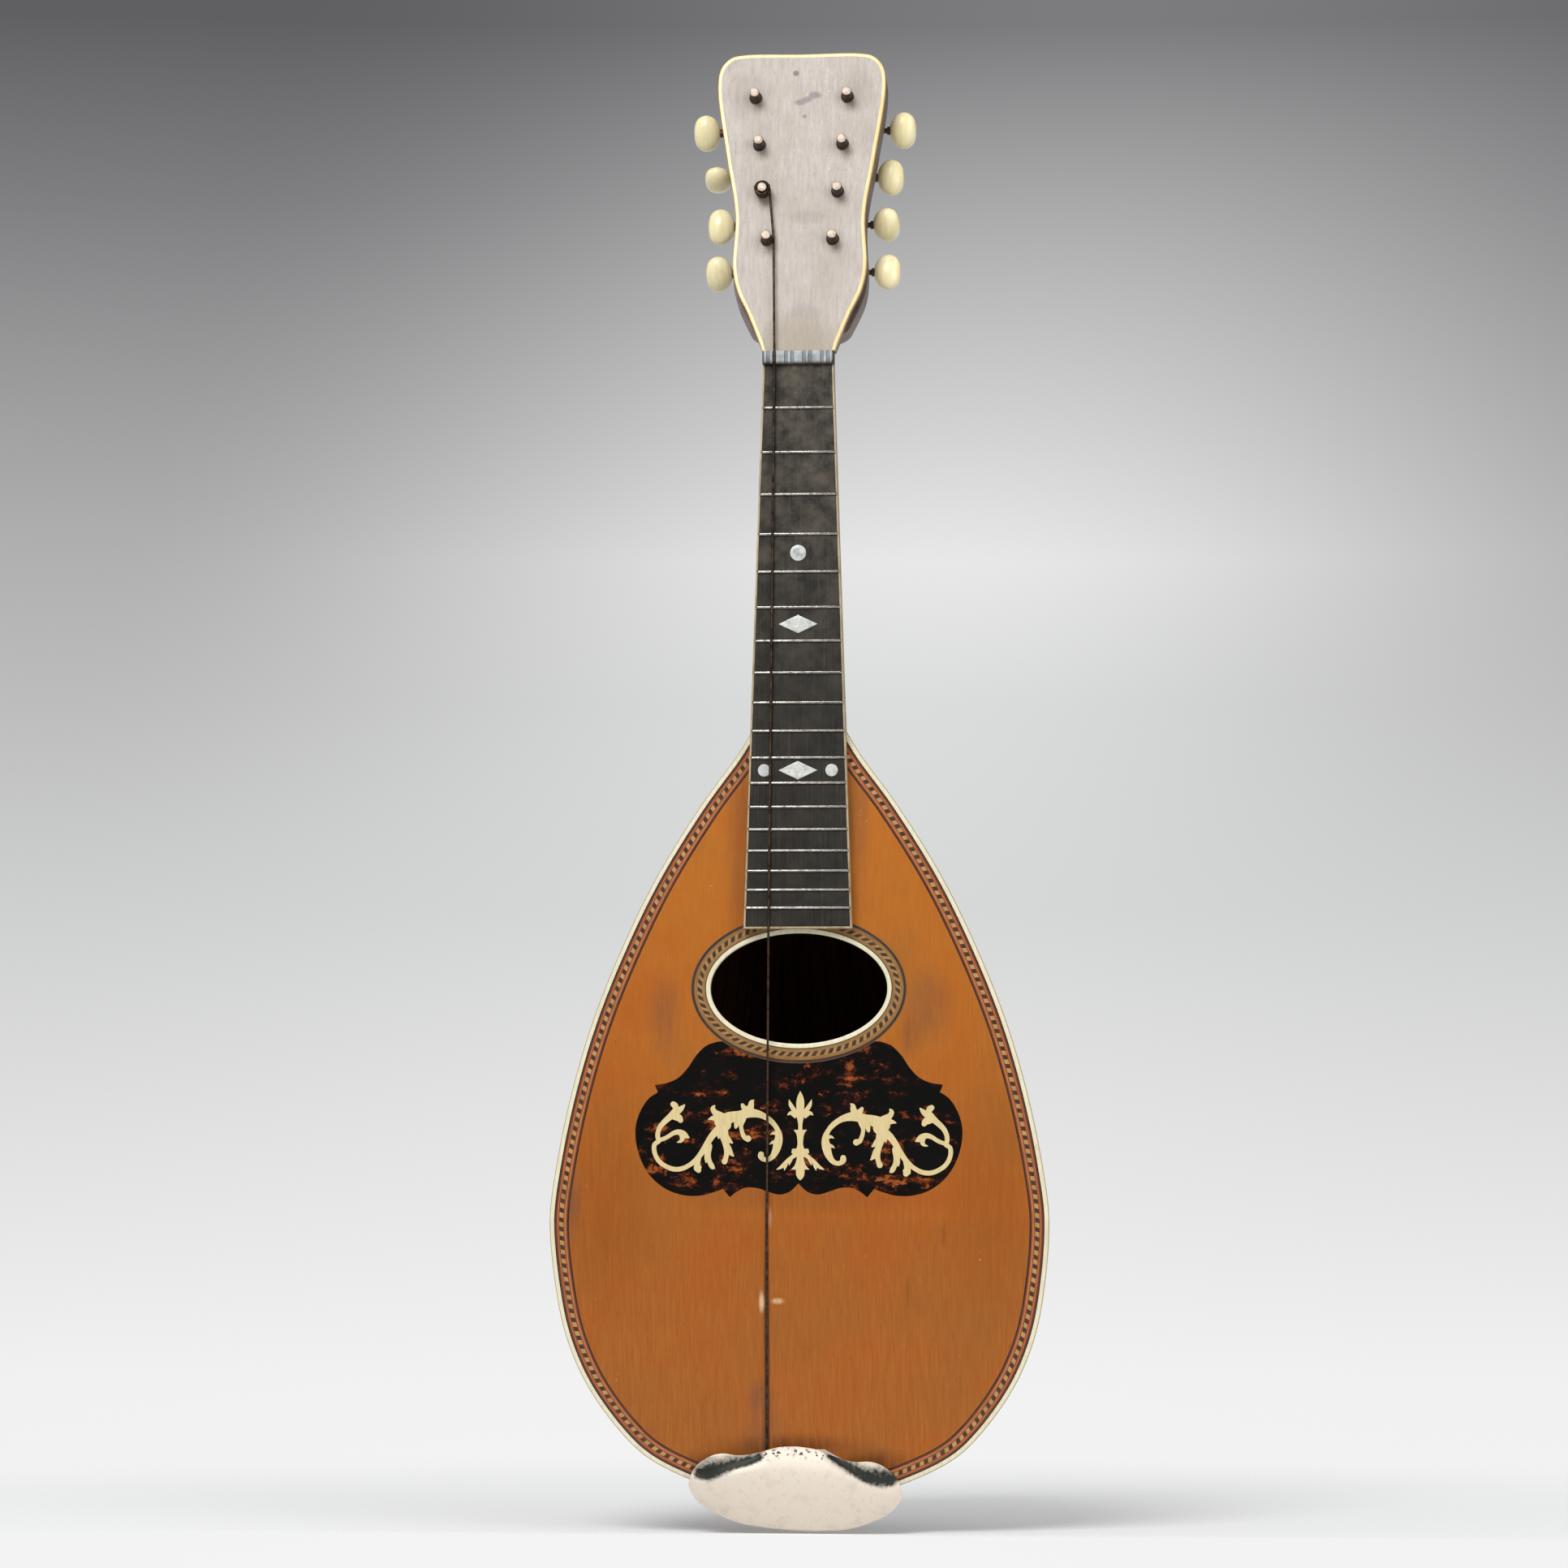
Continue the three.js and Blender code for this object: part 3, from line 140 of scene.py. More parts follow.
# Lays a shade over a colour, as much as the product of its shares. A share is (value, low, high, share at low,
# share at high, curve), of which the last three or the last one can be left out, or a value alone
def overlay(tree, colour, shade, *shares):
    product = None
    for value, *span in shares:
        if span:
            low, high, least, most, curve = span + [0, 1, "LINEAR"][len(span) - 2:]
            value = addNode(tree, "MapRange", {"Value": value, "From Min": low, "From Max": high, "To Min": least,
                                               "To Max": most}, interpolation_type=curve)
        product = value if product is None else addNode(tree, "Math", [product, value],
                                                        operation="MULTIPLY")
    return addNode(tree, "MixRGB", {"Fac": product, "Color1": colour, "Color2": shade})


# Ends a material; gloss is a roughness or (value, roughness at 0, roughness at 1), bump is (height, strength,
# distance in metres)
def endMaterial(tree, colour, gloss, bump, more=None):
    if isinstance(gloss, tuple):
        gloss = addNode(tree, "MapRange", {"Value": gloss[0], "To Min": gloss[1], "To Max": gloss[2]})
    normal = addNode(tree, "Bump", {"Height": bump[0], "Strength": bump[1], "Distance": bump[2]})
    shader = addNode(tree, "BsdfPrincipled", {"Base Color": colour, "Roughness": gloss, "Normal": normal,
                                              **(more or {})})
    addNode(tree, "OutputMaterial", {"Surface": shader})


# A mesh from a grid whose corners are put where place(i, j) says; its UVs are real lengths
def gridMesh(columns, rows, place):
    bm = bmesh.new()
    layer = bm.loops.layers.uv.new("lengths")
    bmesh.ops.create_grid(bm, x_segments=columns, y_segments=rows, size=0.5)
    spots = [[Vector(place(i, j)) for j in range(rows + 1)] for i in range(columns + 1)]
    along, across = [0], [0]
    for a, b in zip(spots, spots[1:]):
        along.append(along[-1] + (b[rows // 2] - a[rows // 2]).length)
    for a, b in zip(spots[columns // 2], spots[columns // 2][1:]):
        across.append(across[-1] + (b - a).length)
    for vert in bm.verts:
        vert.index = round((vert.co.x + 0.5) * columns) * (rows + 1) + round((vert.co.y + 0.5) * rows)
    for face in bm.faces:
        for loop in face.loops:
            i, j = divmod(loop.vert.index, rows + 1)
            loop[layer].uv = (along[i], across[j])
    for vert in bm.verts:
        i, j = divmod(vert.index, rows + 1)
        vert.co = spots[i][j]
    return bm


# Merges what touches, closes open ends and turns the faces outwards
def closeMesh(bm):
    bmesh.ops.remove_doubles(bm, verts=bm.verts, dist=1e-6)
    gaps = [edge for edge in bm.edges if edge.is_boundary]
    if gaps:
        bmesh.ops.holes_fill(bm, edges=gaps, sides=0)
    bmesh.ops.recalc_face_normals(bm, faces=bm.faces)
    return bm


# A bar through rings of equally many points; a looped bar has no ends
def sweep(rings, looped=False):
    count = len(rings[0])
    last = len(rings) if looped else len(rings) - 1
    return closeMesh(gridMesh(last, count, lambda i, j: rings[i % len(rings)][j % count]))


# A flat plate from loops of (x, z), holes after the outline, between two values of y
def plate(loops, front, back):
    bm = bmesh.new()
    edges = []
    for loop in loops:
        ring = [bm.verts.new((x, front, z)) for x, z in loop]
        edges += [bm.edges.new(pair) for pair in zip(ring, ring[1:] + ring[:1])]
    bmesh.ops.triangle_fill(bm, use_beauty=True, edges=edges, normal=(0, -1, 0))
    grown = bmesh.ops.extrude_face_region(bm, geom=bm.faces[:])
    rear = [part for part in grown["geom"] if isinstance(part, bmesh.types.BMVert)]
    bmesh.ops.translate(bm, verts=rear, vec=(0, back - front, 0))
    bmesh.ops.recalc_face_normals(bm, faces=bm.faces)
    return bm


# A turned shape from (radius, height) points, round the z axis
def turned(profile, steps):
    bm = bmesh.new()
    ring = [bm.verts.new((r, 0, h)) for r, h in profile]
    edges = [bm.edges.new(pair) for pair in zip(ring, ring[1:])]
    bmesh.ops.spin(bm, geom=ring + edges, cent=(0, 0, 0), axis=(0, 0, 1), angle=2 * math.pi,
                   steps=steps, use_merge=True, dvec=(0, 0, 0))
    return closeMesh(bm)


# Rounds the corners sharper than an angle in radians: all of them, or those at one depth
def roundCorners(bm, width, segments, sharp, depth=None):
    edges = [e for e in bm.edges if e.is_manifold and e.calc_face_angle(0) > sharp
             and (depth is None or all(abs(v.co.y - depth) < 1e-4 for v in e.verts))]
    bmesh.ops.bevel(bm, geom=edges, offset=width, segments=segments, profile=0.5, affect="EDGES",
                    material=-1, clamp_overlap=True)
    return bm


# A merged copy of a CAD node, whose flat faces are whole again and whose corners are rounded
def softened(node, width):
    bm = bmesh.new()
    bm.from_mesh(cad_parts[node].data)
    bmesh.ops.remove_doubles(bm, verts=bm.verts, dist=1e-6)
    bmesh.ops.dissolve_limit(bm, angle_limit=math.radians(2), verts=bm.verts, edges=bm.edges)
    roundCorners(bm, width, 2, math.radians(30))
    bmesh.ops.recalc_face_normals(bm, faces=bm.faces)
    return bm


# Cuts faces along a plane; with clear, what lies beyond it goes and the hole is closed
def cutAlong(bm, place, way, near=1e-7, clear=False):
    cut = bmesh.ops.bisect_plane(bm, geom=bm.verts[:] + bm.edges[:] + bm.faces[:], dist=near, plane_co=place,
                                 plane_no=way, clear_outer=clear)
    if clear:
        rim = [part for part in cut["geom_cut"] if isinstance(part, bmesh.types.BMEdge)]
        bmesh.ops.holes_fill(bm, edges=rim, sides=0)


def toMetres(bm, place=None):
    bmesh.ops.scale(bm, verts=bm.verts, vec=(mm, mm, mm))
    for layer in bm.loops.layers.uv.values():
        for face in bm.faces:
            for loop in face.loops:
                loop[layer].uv *= mm
    if place:
        bmesh.ops.transform(bm, matrix=place, verts=bm.verts)
    return bm


# Turns a finished mesh into a piece that stands in for a CAD node, which is hidden; it gets its material and
# hangs on its body
def makePiece(name, bm, material, node=None, smooth=30, place=None, body="instrument", metres=False):
    if not metres:
        toMetres(bm, place)
    mesh = bpy.data.meshes.new(name)
    bm.to_mesh(mesh)
    bm.free()
    mesh.materials.append(material)
    if smooth:
        mesh.shade_smooth()
        mesh.set_sharp_from_angle(angle=math.radians(smooth))
    piece = addObject(name, mesh)
    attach(piece, body)
    if node:
        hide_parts(node)


# A mesh as it comes out of a boolean with other meshes; the cutters are used up
def combine(bm, others, operation):
    def asObject(part):
        mesh = bpy.data.meshes.new("part")
        part.to_mesh(mesh)
        part.free()
        return addObject("part", mesh)

    base, *tools = [asObject(part) for part in (bm, *others)]
    for tool in tools:
        step = base.modifiers.new("step", "BOOLEAN")
        step.operation = operation
        step.solver = "EXACT"
        step.object = tool
    shape = base.evaluated_get(bpy.context.evaluated_depsgraph_get())
    result = bmesh.new()
    result.from_mesh(shape.to_mesh())
    shape.to_mesh_clear()
    for made in (base, *tools):
        mesh = made.data
        bpy.data.objects.remove(made)
        bpy.data.meshes.remove(mesh)
    bmesh.ops.remove_doubles(result, verts=result.verts, dist=1e-7)
    return result


# Several meshes in one; they are used up
def joinMeshes(parts):
    whole = bmesh.new()
    for part in parts:
        mesh = bpy.data.meshes.new("part")
        part.to_mesh(mesh)
        part.free()
        whole.from_mesh(mesh)
        bpy.data.meshes.remove(mesh)
    return whole


def placed(part, matrix):
    copy = part.copy()
    bmesh.ops.transform(copy, matrix=matrix, verts=copy.verts)
    return copy


# Centripetal Catmull-Rom curve through points, as (place, direction) pairs
def smoothPath(points, steps):
    points = [Vector(point) for point in points]
    ends = [points[0] * 2 - points[1], *points, points[-1] * 2 - points[-2]]
    path = []
    for a, b, c, d in zip(ends, ends[1:], ends[2:], ends[3:]):
        before, here, after = [max((q - p).length ** 0.5, 1e-6) for p, q in ((a, b), (b, c), (c, d))]
        start = ((b - a) / before - (c - a) / (before + here) + (c - b) / here) * here
        end = ((c - b) / here - (d - b) / (here + after) + (d - c) / after) * here
        for k in range(steps):
            t = k / steps
            place = (b * (2 * t ** 3 - 3 * t ** 2 + 1) + start * (t ** 3 - 2 * t ** 2 + t)
                     + c * (3 * t ** 2 - 2 * t ** 3) + end * (t ** 3 - t ** 2))
            way = (b * (6 * t ** 2 - 6 * t) + start * (3 * t ** 2 - 4 * t + 1)
                   + c * (6 * t - 6 * t ** 2) + end * (3 * t ** 2 - 2 * t))
            path.append((place, way.normalized()))
    path.append((points[-1], (points[-1] - points[-2]).normalized()))
    return path


def smoothPoints(points, steps):
    return [place for place, way in smoothPath(points, steps)]


def mirrored(points):
    return [Vector((-point[0], *point[1:])) for point in reversed(points)]


def oval(halfX, halfZ, centreX, centreZ, count):
    turns = [2 * math.pi * k / count for k in range(count)]
    return [(centreX + halfX * math.cos(turn), centreZ + halfZ * math.sin(turn)) for turn in turns]


# Materials

# Stains and worn places on the soundboard, and painted shade along the string and above the tailpiece cover:
# middle (x, z), half size (x, z) in mm, colour, strength
spruceStainsAndShade = [
    ((-74, 120), (24, 60), "8c4a0c", 0.65), ((74, 120), (24, 60), "924c0c", 0.6),
    ((-52, 188), (9, 22), "6e4a34", 0.45), ((50, 192), (13, 20), "6e4a34", 0.5),
    ((43, 180), (6, 12), "5a3c2c", 0.4), ((-88, 118), (5, 22), "5a463a", 0.55),
    ((-15.5, 42), (7, 9), "5c4638", 0.5), ((-14, 31), (11, 14), "6a4c3a", 0.35),
    # Grime and the string's painted shadow, along the string
    ((-12.6, 66), (1.7, 58), "3a281c", 0.85), ((-13.0, 30), (2.4, 16), "3a281c", 0.6),
    # The next three marks, in 54280f, are grime and painted shade along the top of the tailpiece cover
    ((-3, 22), (34, 6.5), "54280f", 0.75), ((-40, 13), (12, 9), "54280f", 0.6),
    ((30, 15), (20, 8), "54280f", 0.7), ((0, 118), (70, 9), "7a4018", 0.35),
    ((-14.5, 77.5), (1.5, 5.5), "e2c09a", 1), ((-8.4, 78), (3.6, 1.6), "dcb48a", 0.9),
    ((42, 82), (1.6, 9), "5a3418", 0.45), ((56, 103), (1.5, 8), "5a3418", 0.4),
    ((-11.3, 110), (1.6, 6), "c09070", 0.6), ((-22, 255), (9, 50), "7a4c30", 0.5),
    ((23, 268), (7, 40), "7a4c30", 0.5),
]
yearLines = 0.9  # mm between them


# Aged spruce under orange-brown varnish: fine upright grain, worn and grimy places, painted shade along the
# string and above the tailpiece cover, pale specks
def makeSpruce():
    material, tree, place = newTree("aged varnished spruce")
    spot = place["Object"]
    bent = wavering(tree, spot, 14, 2, (0.004, 0, 0))
    grain = streaks(tree, bent, (1000 / yearLines, 30, 75), 5, 0.7)
    colour = addNode(tree, "ValToRGB", {"Fac": grain}, stops=[
        (0.3, "985216"), (0.5, "a25a1a"), (0.72, "ab6522")])
    height = addNode(tree, "SeparateXYZ", {"Vector": spot})["Z"]
    colour = overlay(tree, colour, "c67618", (height, 0.1, 0.3, 0, 0.6))
    broad = addNode(tree, "TexNoise", {"Vector": spot, "Scale": 22, "Detail": 5, "Roughness": 0.6})
    colour = overlay(tree, colour, "a8520e", (broad, 0.5, 0.7, 0, 0.55))
    colour = overlay(tree, colour, "8a5a26", (broad, 0.5, 0.28, 0, 0.45))
    flecks = streaks(tree, spot, (1500, 30, 240), 3, 0.6)
    colour = overlay(tree, colour, "6e3c1c", (flecks, 0.36, 0.24, 0, 0.6))
    worn = streaks(tree, spot, (420, 1, 34), 6, 0.75)
    for middle, half, shade, strength in spruceStainsAndShade:
        far = farFrom(tree, spot, middle, half)
        colour = overlay(tree, colour, shade, (far, 0.2, 1, strength, 0, "SMOOTHSTEP"),
                         (worn, 0.38, 0.6, 0.35, 1))
    specks = addNode(tree, "TexVoronoi", {"Vector": spot, "Scale": 210, "Randomness": 1})["Distance"]
    some = addNode(tree, "TexNoise", {"Vector": spot, "Scale": 60})
    colour = overlay(tree, colour, "e0b88a", (specks, 0.06, 0.1, 0.5, 0), (some, 0.6, 0.7))
    endMaterial(tree, colour, (worn, 0.32, 0.5), (grain, 0.12, 0.0002), {"Specular IOR Level": 0.28})
    return material


# Cut and polished wood: two tones, width and length of its streaks in mm and the gloss
woods = {
    "rosewood": {"light": "5c3420", "dark": "29150e", "streak": 2.4, "long": 60, "gloss": 0.3},
    "stained mahogany": {"light": "7c685d", "dark": "57463e", "streak": 1.6, "long": 30, "gloss": 0.45},
    "bare spruce blocks": {"light": "c9a774", "dark": "a98450", "streak": 1.5, "long": 40, "gloss": 0.7},
    "maple lines": {"light": "d8b982", "dark": "b8935c", "streak": 1.0, "long": 20, "gloss": 0.35},
}


# Along the piece by its UVs, or upright by its own coordinates
def makeWood(name, source="UV"):
    wood = woods[name]
    material, tree, place = newTree(name)
    long, across = 1000 / wood["long"], 1000 / wood["streak"]
    scale = (long, across, across) if source == "UV" else (across, across, long)
    bent = wavering(tree, place[source], 22, 2, (0.006, 0.006, 0.006))
    grain = streaks(tree, bent, scale, 6, 0.6)
    colour = addNode(tree, "ValToRGB", {"Fac": grain}, stops=[(0.32, wood["dark"]), (0.66, wood["light"])])
    pores = streaks(tree, place[source], [6 * s for s in scale], 3)
    colour = overlay(tree, colour, wood["dark"], (pores, 0.3, 0.42, 0.55, 0))
    endMaterial(tree, colour, (grain, wood["gloss"] - 0.06, wood["gloss"] + 0.14), (pores, 0.15, 0.0001))
    return material


# Ebonised pearwood of the fingerboard: near black, grey with dust and finger wear along the grain
def makeEbony():
    material, tree, place = newTree("ebonised wood")
    spot = place["Object"]
    grain = streaks(tree, spot, (1400, 200, 26), 6, 0.7)
    colour = addNode(tree, "ValToRGB", {"Fac": grain}, stops=[
        (0.3, "14120f"), (0.55, "25221c"), (0.75, "403a31")])
    broad = addNode(tree, "TexNoise", {"Vector": spot, "Scale": 120, "Detail": 6, "Roughness": 0.7})
    height = addNode(tree, "SeparateXYZ", {"Vector": spot})["Z"]
    colour = overlay(tree, colour, "645b4e", (height, 0.3, 0.44, 0.15, 0.85), (broad, 0.38, 0.68))
    rubbed = addNode(tree, "Attribute", attribute_name="rubbed")["Fac"]
    colour = overlay(tree, colour, "b4babd", (rubbed,), (broad, 0.2, 0.55))
    endMaterial(tree, colour, (broad, 0.4, 0.65), (grain, 0.1, 0.0001), {"Specular IOR Level": 0.3})
    return material


# Stains on the headstock, then dirt and painted shade round the posts, as on the soundboard
veneerStainsAndShade = [
    ((-0.6, 548.0), (3.0, 1.7), "857d80", 0.8), ((2.2, 549.2), (3.2, 1.6), "857d80", 0.8),
    ((5.2, 550.9), (3.4, 1.9), "857d80", 0.8), ((-2.3, 560), (1.5, 1.5), "6a6263", 0.8),
    ((1.3, 542.2), (1.2, 1.2), "7a7070", 0.7), ((2.8, 501), (11, 4), "7d736e", 0.25),
    ((2.5, 462.5), (8, 5), "8a8078", 0.3), ((-21, 551), (9, 14), "958a84", 0.3),
    ((22, 553), (9, 12), "8f8478", 0.3), ((0, 450), (20, 16), "9c9078", 0.55),
]
# Dirt and painted shade round the foot of each post
veneerStainsAndShade += [((side * (12.9 + row * 1.73), 490.5 + row * 19.43), (6.0, 6.6), "857868", 0.35)
                for row in range(4) for side, word in sides]
chips = ((11, 535), (20, 1000 / 22))


# Grey weathered veneer: silvery streaks along the grain, dark pores, stains, dirt and painted shade round the
# posts, and pale chips in one place
def makeVeneer():
    material, tree, place = newTree("weathered veneer")
    spot = place["Object"]
    grain = streaks(tree, spot, (700, 60, 110), 9, 0.78)
    colour = addNode(tree, "ValToRGB", {"Fac": grain}, stops=[
        (0.28, "a49a90"), (0.46, "b8aea5"), (0.6, "c3bab2"), (0.8, "d6cec6")])
    broad = addNode(tree, "TexNoise", {"Vector": spot, "Scale": 42, "Detail": 5, "Roughness": 0.6})
    colour = overlay(tree, colour, "a09386", (broad, 0.48, 0.75, 0, 0.6))
    pores = streaks(tree, spot, (2600, 60, 420), 2)
    colour = overlay(tree, colour, "857a75", (pores, 0.27, 0.36, 0.6, 0))
    for middle, half, shade, strength in veneerStainsAndShade:
        rough = addNode(tree, "Math", [farFrom(tree, spot, middle, half), broad], operation="ADD")
        colour = overlay(tree, colour, shade, (rough, 0.9, 1.5, strength, 0, "SMOOTHSTEP"))
    flecks = streaks(tree, spot, (900, 60, 500), 4, 0.8)
    colour = overlay(tree, colour, "f2ecd8", (flecks, 0.62, 0.7, 0, 0.8),
                     (farFrom(tree, spot, *chips), 0.3, 1, 1, 0))
    endMaterial(tree, colour, (grain, 0.4, 0.62), (pores, 0.25, 0.0001), {"Specular IOR Level": 0.4})
    return material


# Ivoroid, a celluloid with fine streaks like ivory, yellowed: edging, inlay and buttons
ivoroids = {
    "ivoroid edging": {"light": "e8e1c4", "dark": "dbd2b0", "gloss": 0.3, "glow": 0.1, "rim": "b09a76"},
    "ivoroid head edging": {"light": "f3e2ac", "dark": "e6d08e", "gloss": 0.3, "glow": 0.1, "rim": "c08a48"},
    "ivoroid board edging": {"light": "b7a583", "dark": "95805c", "gloss": 0.4, "glow": 0, "rim": "6a5436"},
    "ivoroid inlay": {"light": "dec994", "dark": "d3bd86", "gloss": 0.35, "glow": 0.05, "rim": "8a7448"},
    "ivoroid buttons": {"light": "fff3c8", "dark": "f9e6b0", "gloss": 0.22, "glow": 0.2, "rim": "d8b878"},
}


def makeIvoroid(name):
    kind = ivoroids[name]
    material, tree, place = newTree(name)
    lines = streaks(tree, place["Object"], (900, 300, 120), 4)
    colour = addNode(tree, "ValToRGB", {"Fac": lines}, stops=[(0.3, kind["dark"]), (0.6, kind["light"])])
    broad = addNode(tree, "TexNoise", {"Vector": place["Object"], "Scale": 90, "Detail": 5, "Roughness": 0.7})
    colour = overlay(tree, colour, "a8864e", (broad, 0.6, 0.75, 0, 0.35))
    rim = addNode(tree, "Attribute", attribute_name="rim")["Fac"]
    colour = overlay(tree, colour, kind["rim"], (rim,))
    endMaterial(tree, colour, (broad, kind["gloss"] - 0.08, kind["gloss"] + 0.15), (broad, 0.06, 0.0002),
                {"Subsurface Weight": kind["glow"], "Subsurface Radius": (0.003, 0.002, 0.001),
                 "Subsurface Scale": 1.0})
    return material


# Tortoiseshell celluloid: nearly black with torn clouds of orange and red-brown, polished
def makeTortoiseshell():
    material, tree, place = newTree("tortoiseshell celluloid")
    bent = wavering(tree, place["Object"], 120, 4, (0.012, 0.012, 0.006), 0.7)
    clouds = streaks(tree, bent, (105, 105, 200), 8, 0.72)
    colour = addNode(tree, "ValToRGB", {"Fac": clouds}, stops=[
        (0.51, "090807"), (0.565, "210c06"), (0.6, "5e260f"), (0.64, "90491a"), (0.76, "b06c2e")])
    scuffs = addNode(tree, "TexNoise", {"Vector": place["Object"], "Scale": 40, "Detail": 6, "Roughness": 0.75})
    endMaterial(tree, colour, (scuffs, 0.12, 0.34), (scuffs, 0.05, 0.0002), {"Specular IOR Level": 0.4})
    return material


# Strips of veneer laid side by side, with a rope of slanted dark blocks in one of them; mm across the band
marquetries = {
    "purfling strips": {
        "width": 5.75, "period": 3.5, "dark": 0.5, "slant": 0.35, "rope": (2.0, 3.6),
        "strips": [(0, "231610"), (0.55, "742e14"), (1.15, "b06e3c"), (1.55, "9c4418"), (2.0, "bc8e54"),
                   (3.6, "943a16"), (4.0, "b87440"), (4.65, "7e3616"), (5.15, "231610")],
    },
    "rosette strips": {
        "width": 5.8, "period": 3.45, "dark": 0.56, "slant": 0.9, "rope": (1.5, 3.3),
        "strips": [(0, "3a281a"), (0.35, "96703c"), (1.4, "a9804a"), (3.4, "946a36"), (4.6, "33241a"),
                   (5.25, "3a2a1e"), (5.6, "6a5844")],
    },
}


def makeMarquetry(name):
    band = marquetries[name]
    material, tree, place = newTree(name)
    apart = addNode(tree, "SeparateXYZ", {"Vector": place["UV"]})
    width = addNode(tree, "Math", [apart["Y"], 1000 / band["width"]], operation="MULTIPLY")
    stops = [(start / band["width"], shade) for start, shade in band["strips"]]
    colour = addNode(tree, "ValToRGB", {"Fac": width}, stops=stops, interpolation="CONSTANT")
    lean = addNode(tree, "Math", [apart["Y"], band["slant"], apart["X"]], operation="MULTIPLY_ADD")
    turns = addNode(tree, "Math", [lean, 1000 / band["period"]], operation="MULTIPLY")
    share = addNode(tree, "Math", [turns], operation="FRACT")
    block = addNode(tree, "Math", [share, band["dark"]], operation="LESS_THAN")
    above, below = [addNode(tree, "Math", [apart["Y"], end * mm], operation=test)
                    for end, test in zip(band["rope"], ("GREATER_THAN", "LESS_THAN"))]
    colour = overlay(tree, colour, "35261a", (above,), (below,), (block,))
    grime = addNode(tree, "TexNoise", {"Vector": place["Object"], "Scale": 130, "Detail": 5, "Roughness": 0.7})
    colour = overlay(tree, colour, "66411f", (grime, 0.4, 0.75, 0, 0.5))
    endMaterial(tree, colour, 0.42, (grime, 0.1, 0.0001))
    return material


# Mother of pearl: pale, with soft grey-green and pink clouds
def makePearl():
    material, tree, place = newTree("mother of pearl")
    bent = wavering(tree, place["Object"], 260, 3, (0.01, 0.01, 0.01))
    clouds = addNode(tree, "TexNoise", {"Vector": bent, "Scale": 190, "Detail": 2})
    colour = addNode(tree, "ValToRGB", {"Fac": clouds}, stops=[
        (0.3, "a9aca6"), (0.45, "d9dcd6"), (0.55, "c9cbc8"), (0.7, "efe9e0")])
    endMaterial(tree, colour, 0.25, (clouds, 0.1, 0.0002), {"Metallic": 0.1})
    return material


# Metals: bright tone, tarnished tone, share of tarnish, gloss and grain size in mm
metals = {
    "silver plate": {"bright": "e4d9ca", "dull": "d6cabc", "spread": 0.62, "gloss": 0.52, "grain": 6},
    "aged brass": {"bright": "c39a55", "dull": "6b4e2a", "spread": 0.5, "gloss": 0.38, "grain": 5},
    "rusted steel": {"bright": "8c7464", "dull": "604a3e", "spread": 0.45, "gloss": 0.5, "grain": 1.4},
    "darkened steel": {"bright": "5a483d", "dull": "382a24", "spread": 0.45, "gloss": 0.5, "grain": 1.4},
    "nickel silver": {"bright": "c9c6bd", "dull": "8d877c", "spread": 0.55, "gloss": 0.3, "grain": 2},
    "wound bronze": {"bright": "685445", "dull": "3a2d25", "spread": 0.5, "gloss": 0.5, "grain": 3},
}


# wound is the pitch of its winding in mm; patinaAndPaintedLight is (attribute, colour, how much noise tears its
# edge, where it starts and ends, metallic without and with it), a mark that is tarnish with a painted dark
# reflection on the silver and wear with a painted highlight on the steel; specks is an attribute where small
# black specks show
def makeMetal(name, wound=None, patinaAndPaintedLight=None, specks=None):
    metal = metals[name]
    material, tree, place = newTree(name)
    spot, spread = place["Object"], metal["spread"]
    clouds = addNode(tree, "TexNoise", {"Vector": spot, "Scale": 1000 / metal["grain"], "Detail": 7,
                                        "Roughness": 0.68})
    aged = addNode(tree, "MapRange", {"Value": clouds, "From Min": spread - 0.12, "From Max": spread + 0.12})
    colour = overlay(tree, metal["bright"], metal["dull"], (aged,))
    gloss = (aged, metal["gloss"] - 0.05, metal["gloss"] + 0.22)
    bump = (clouds, 0.08, 0.0001)
    metallic = 1.0
    if wound:
        along = addNode(tree, "SeparateXYZ", {"Vector": place["UV"]})["X"]
        turns = addNode(tree, "Math", [along, 2 * math.pi * 1000 / wound], operation="MULTIPLY")
        bump = (addNode(tree, "Math", [turns], operation="SINE"), 0.1, 0.0001)
    if patinaAndPaintedLight:
        attribute, shade, tear, start, end, bare, under = patinaAndPaintedLight
        mark = addNode(tree, "Attribute", attribute_name=attribute)["Fac"]
        torn = addNode(tree, "TexNoise", {"Vector": spot, "Scale": 700, "Detail": 8, "Roughness": 0.75})
        edge = addNode(tree, "Math", [torn, tear, mark], operation="MULTIPLY_ADD")
        grown = addNode(tree, "MapRange", {"Value": edge, "From Min": start, "From Max": end})
        colour = overlay(tree, colour, shade, (grown,))
        gloss = (grown, metal["gloss"], 0.5)
        metallic = addNode(tree, "MapRange", {"Value": grown, "To Min": bare, "To Max": under})
    if specks:
        mark = addNode(tree, "Attribute", attribute_name=specks)["Fac"]
        fine = addNode(tree, "TexNoise", {"Vector": spot, "Scale": 560, "Detail": 2, "Roughness": 0.5})
        colour = overlay(tree, colour, "2a2826", (fine, 0.55, 0.58), (mark,))
    endMaterial(tree, colour, gloss, bump, {"Metallic": metallic})
    return material


spruce = makeSpruce()
rosewood = makeWood("rosewood")
mahogany = makeWood("stained mahogany", "Object")
paleWood = makeWood("bare spruce blocks", "Object")
mapleLines = makeWood("maple lines")
ebony = makeEbony()
greyVeneer = makeVeneer()
edging, headEdging, boardEdging, inlay, buttonIvoroid = [makeIvoroid(name) for name in ivoroids]
tortoiseshell = makeTortoiseshell()
purflingStrips, rosetteStrips = [makeMarquetry(name) for name in marquetries]
pearl = makePearl()
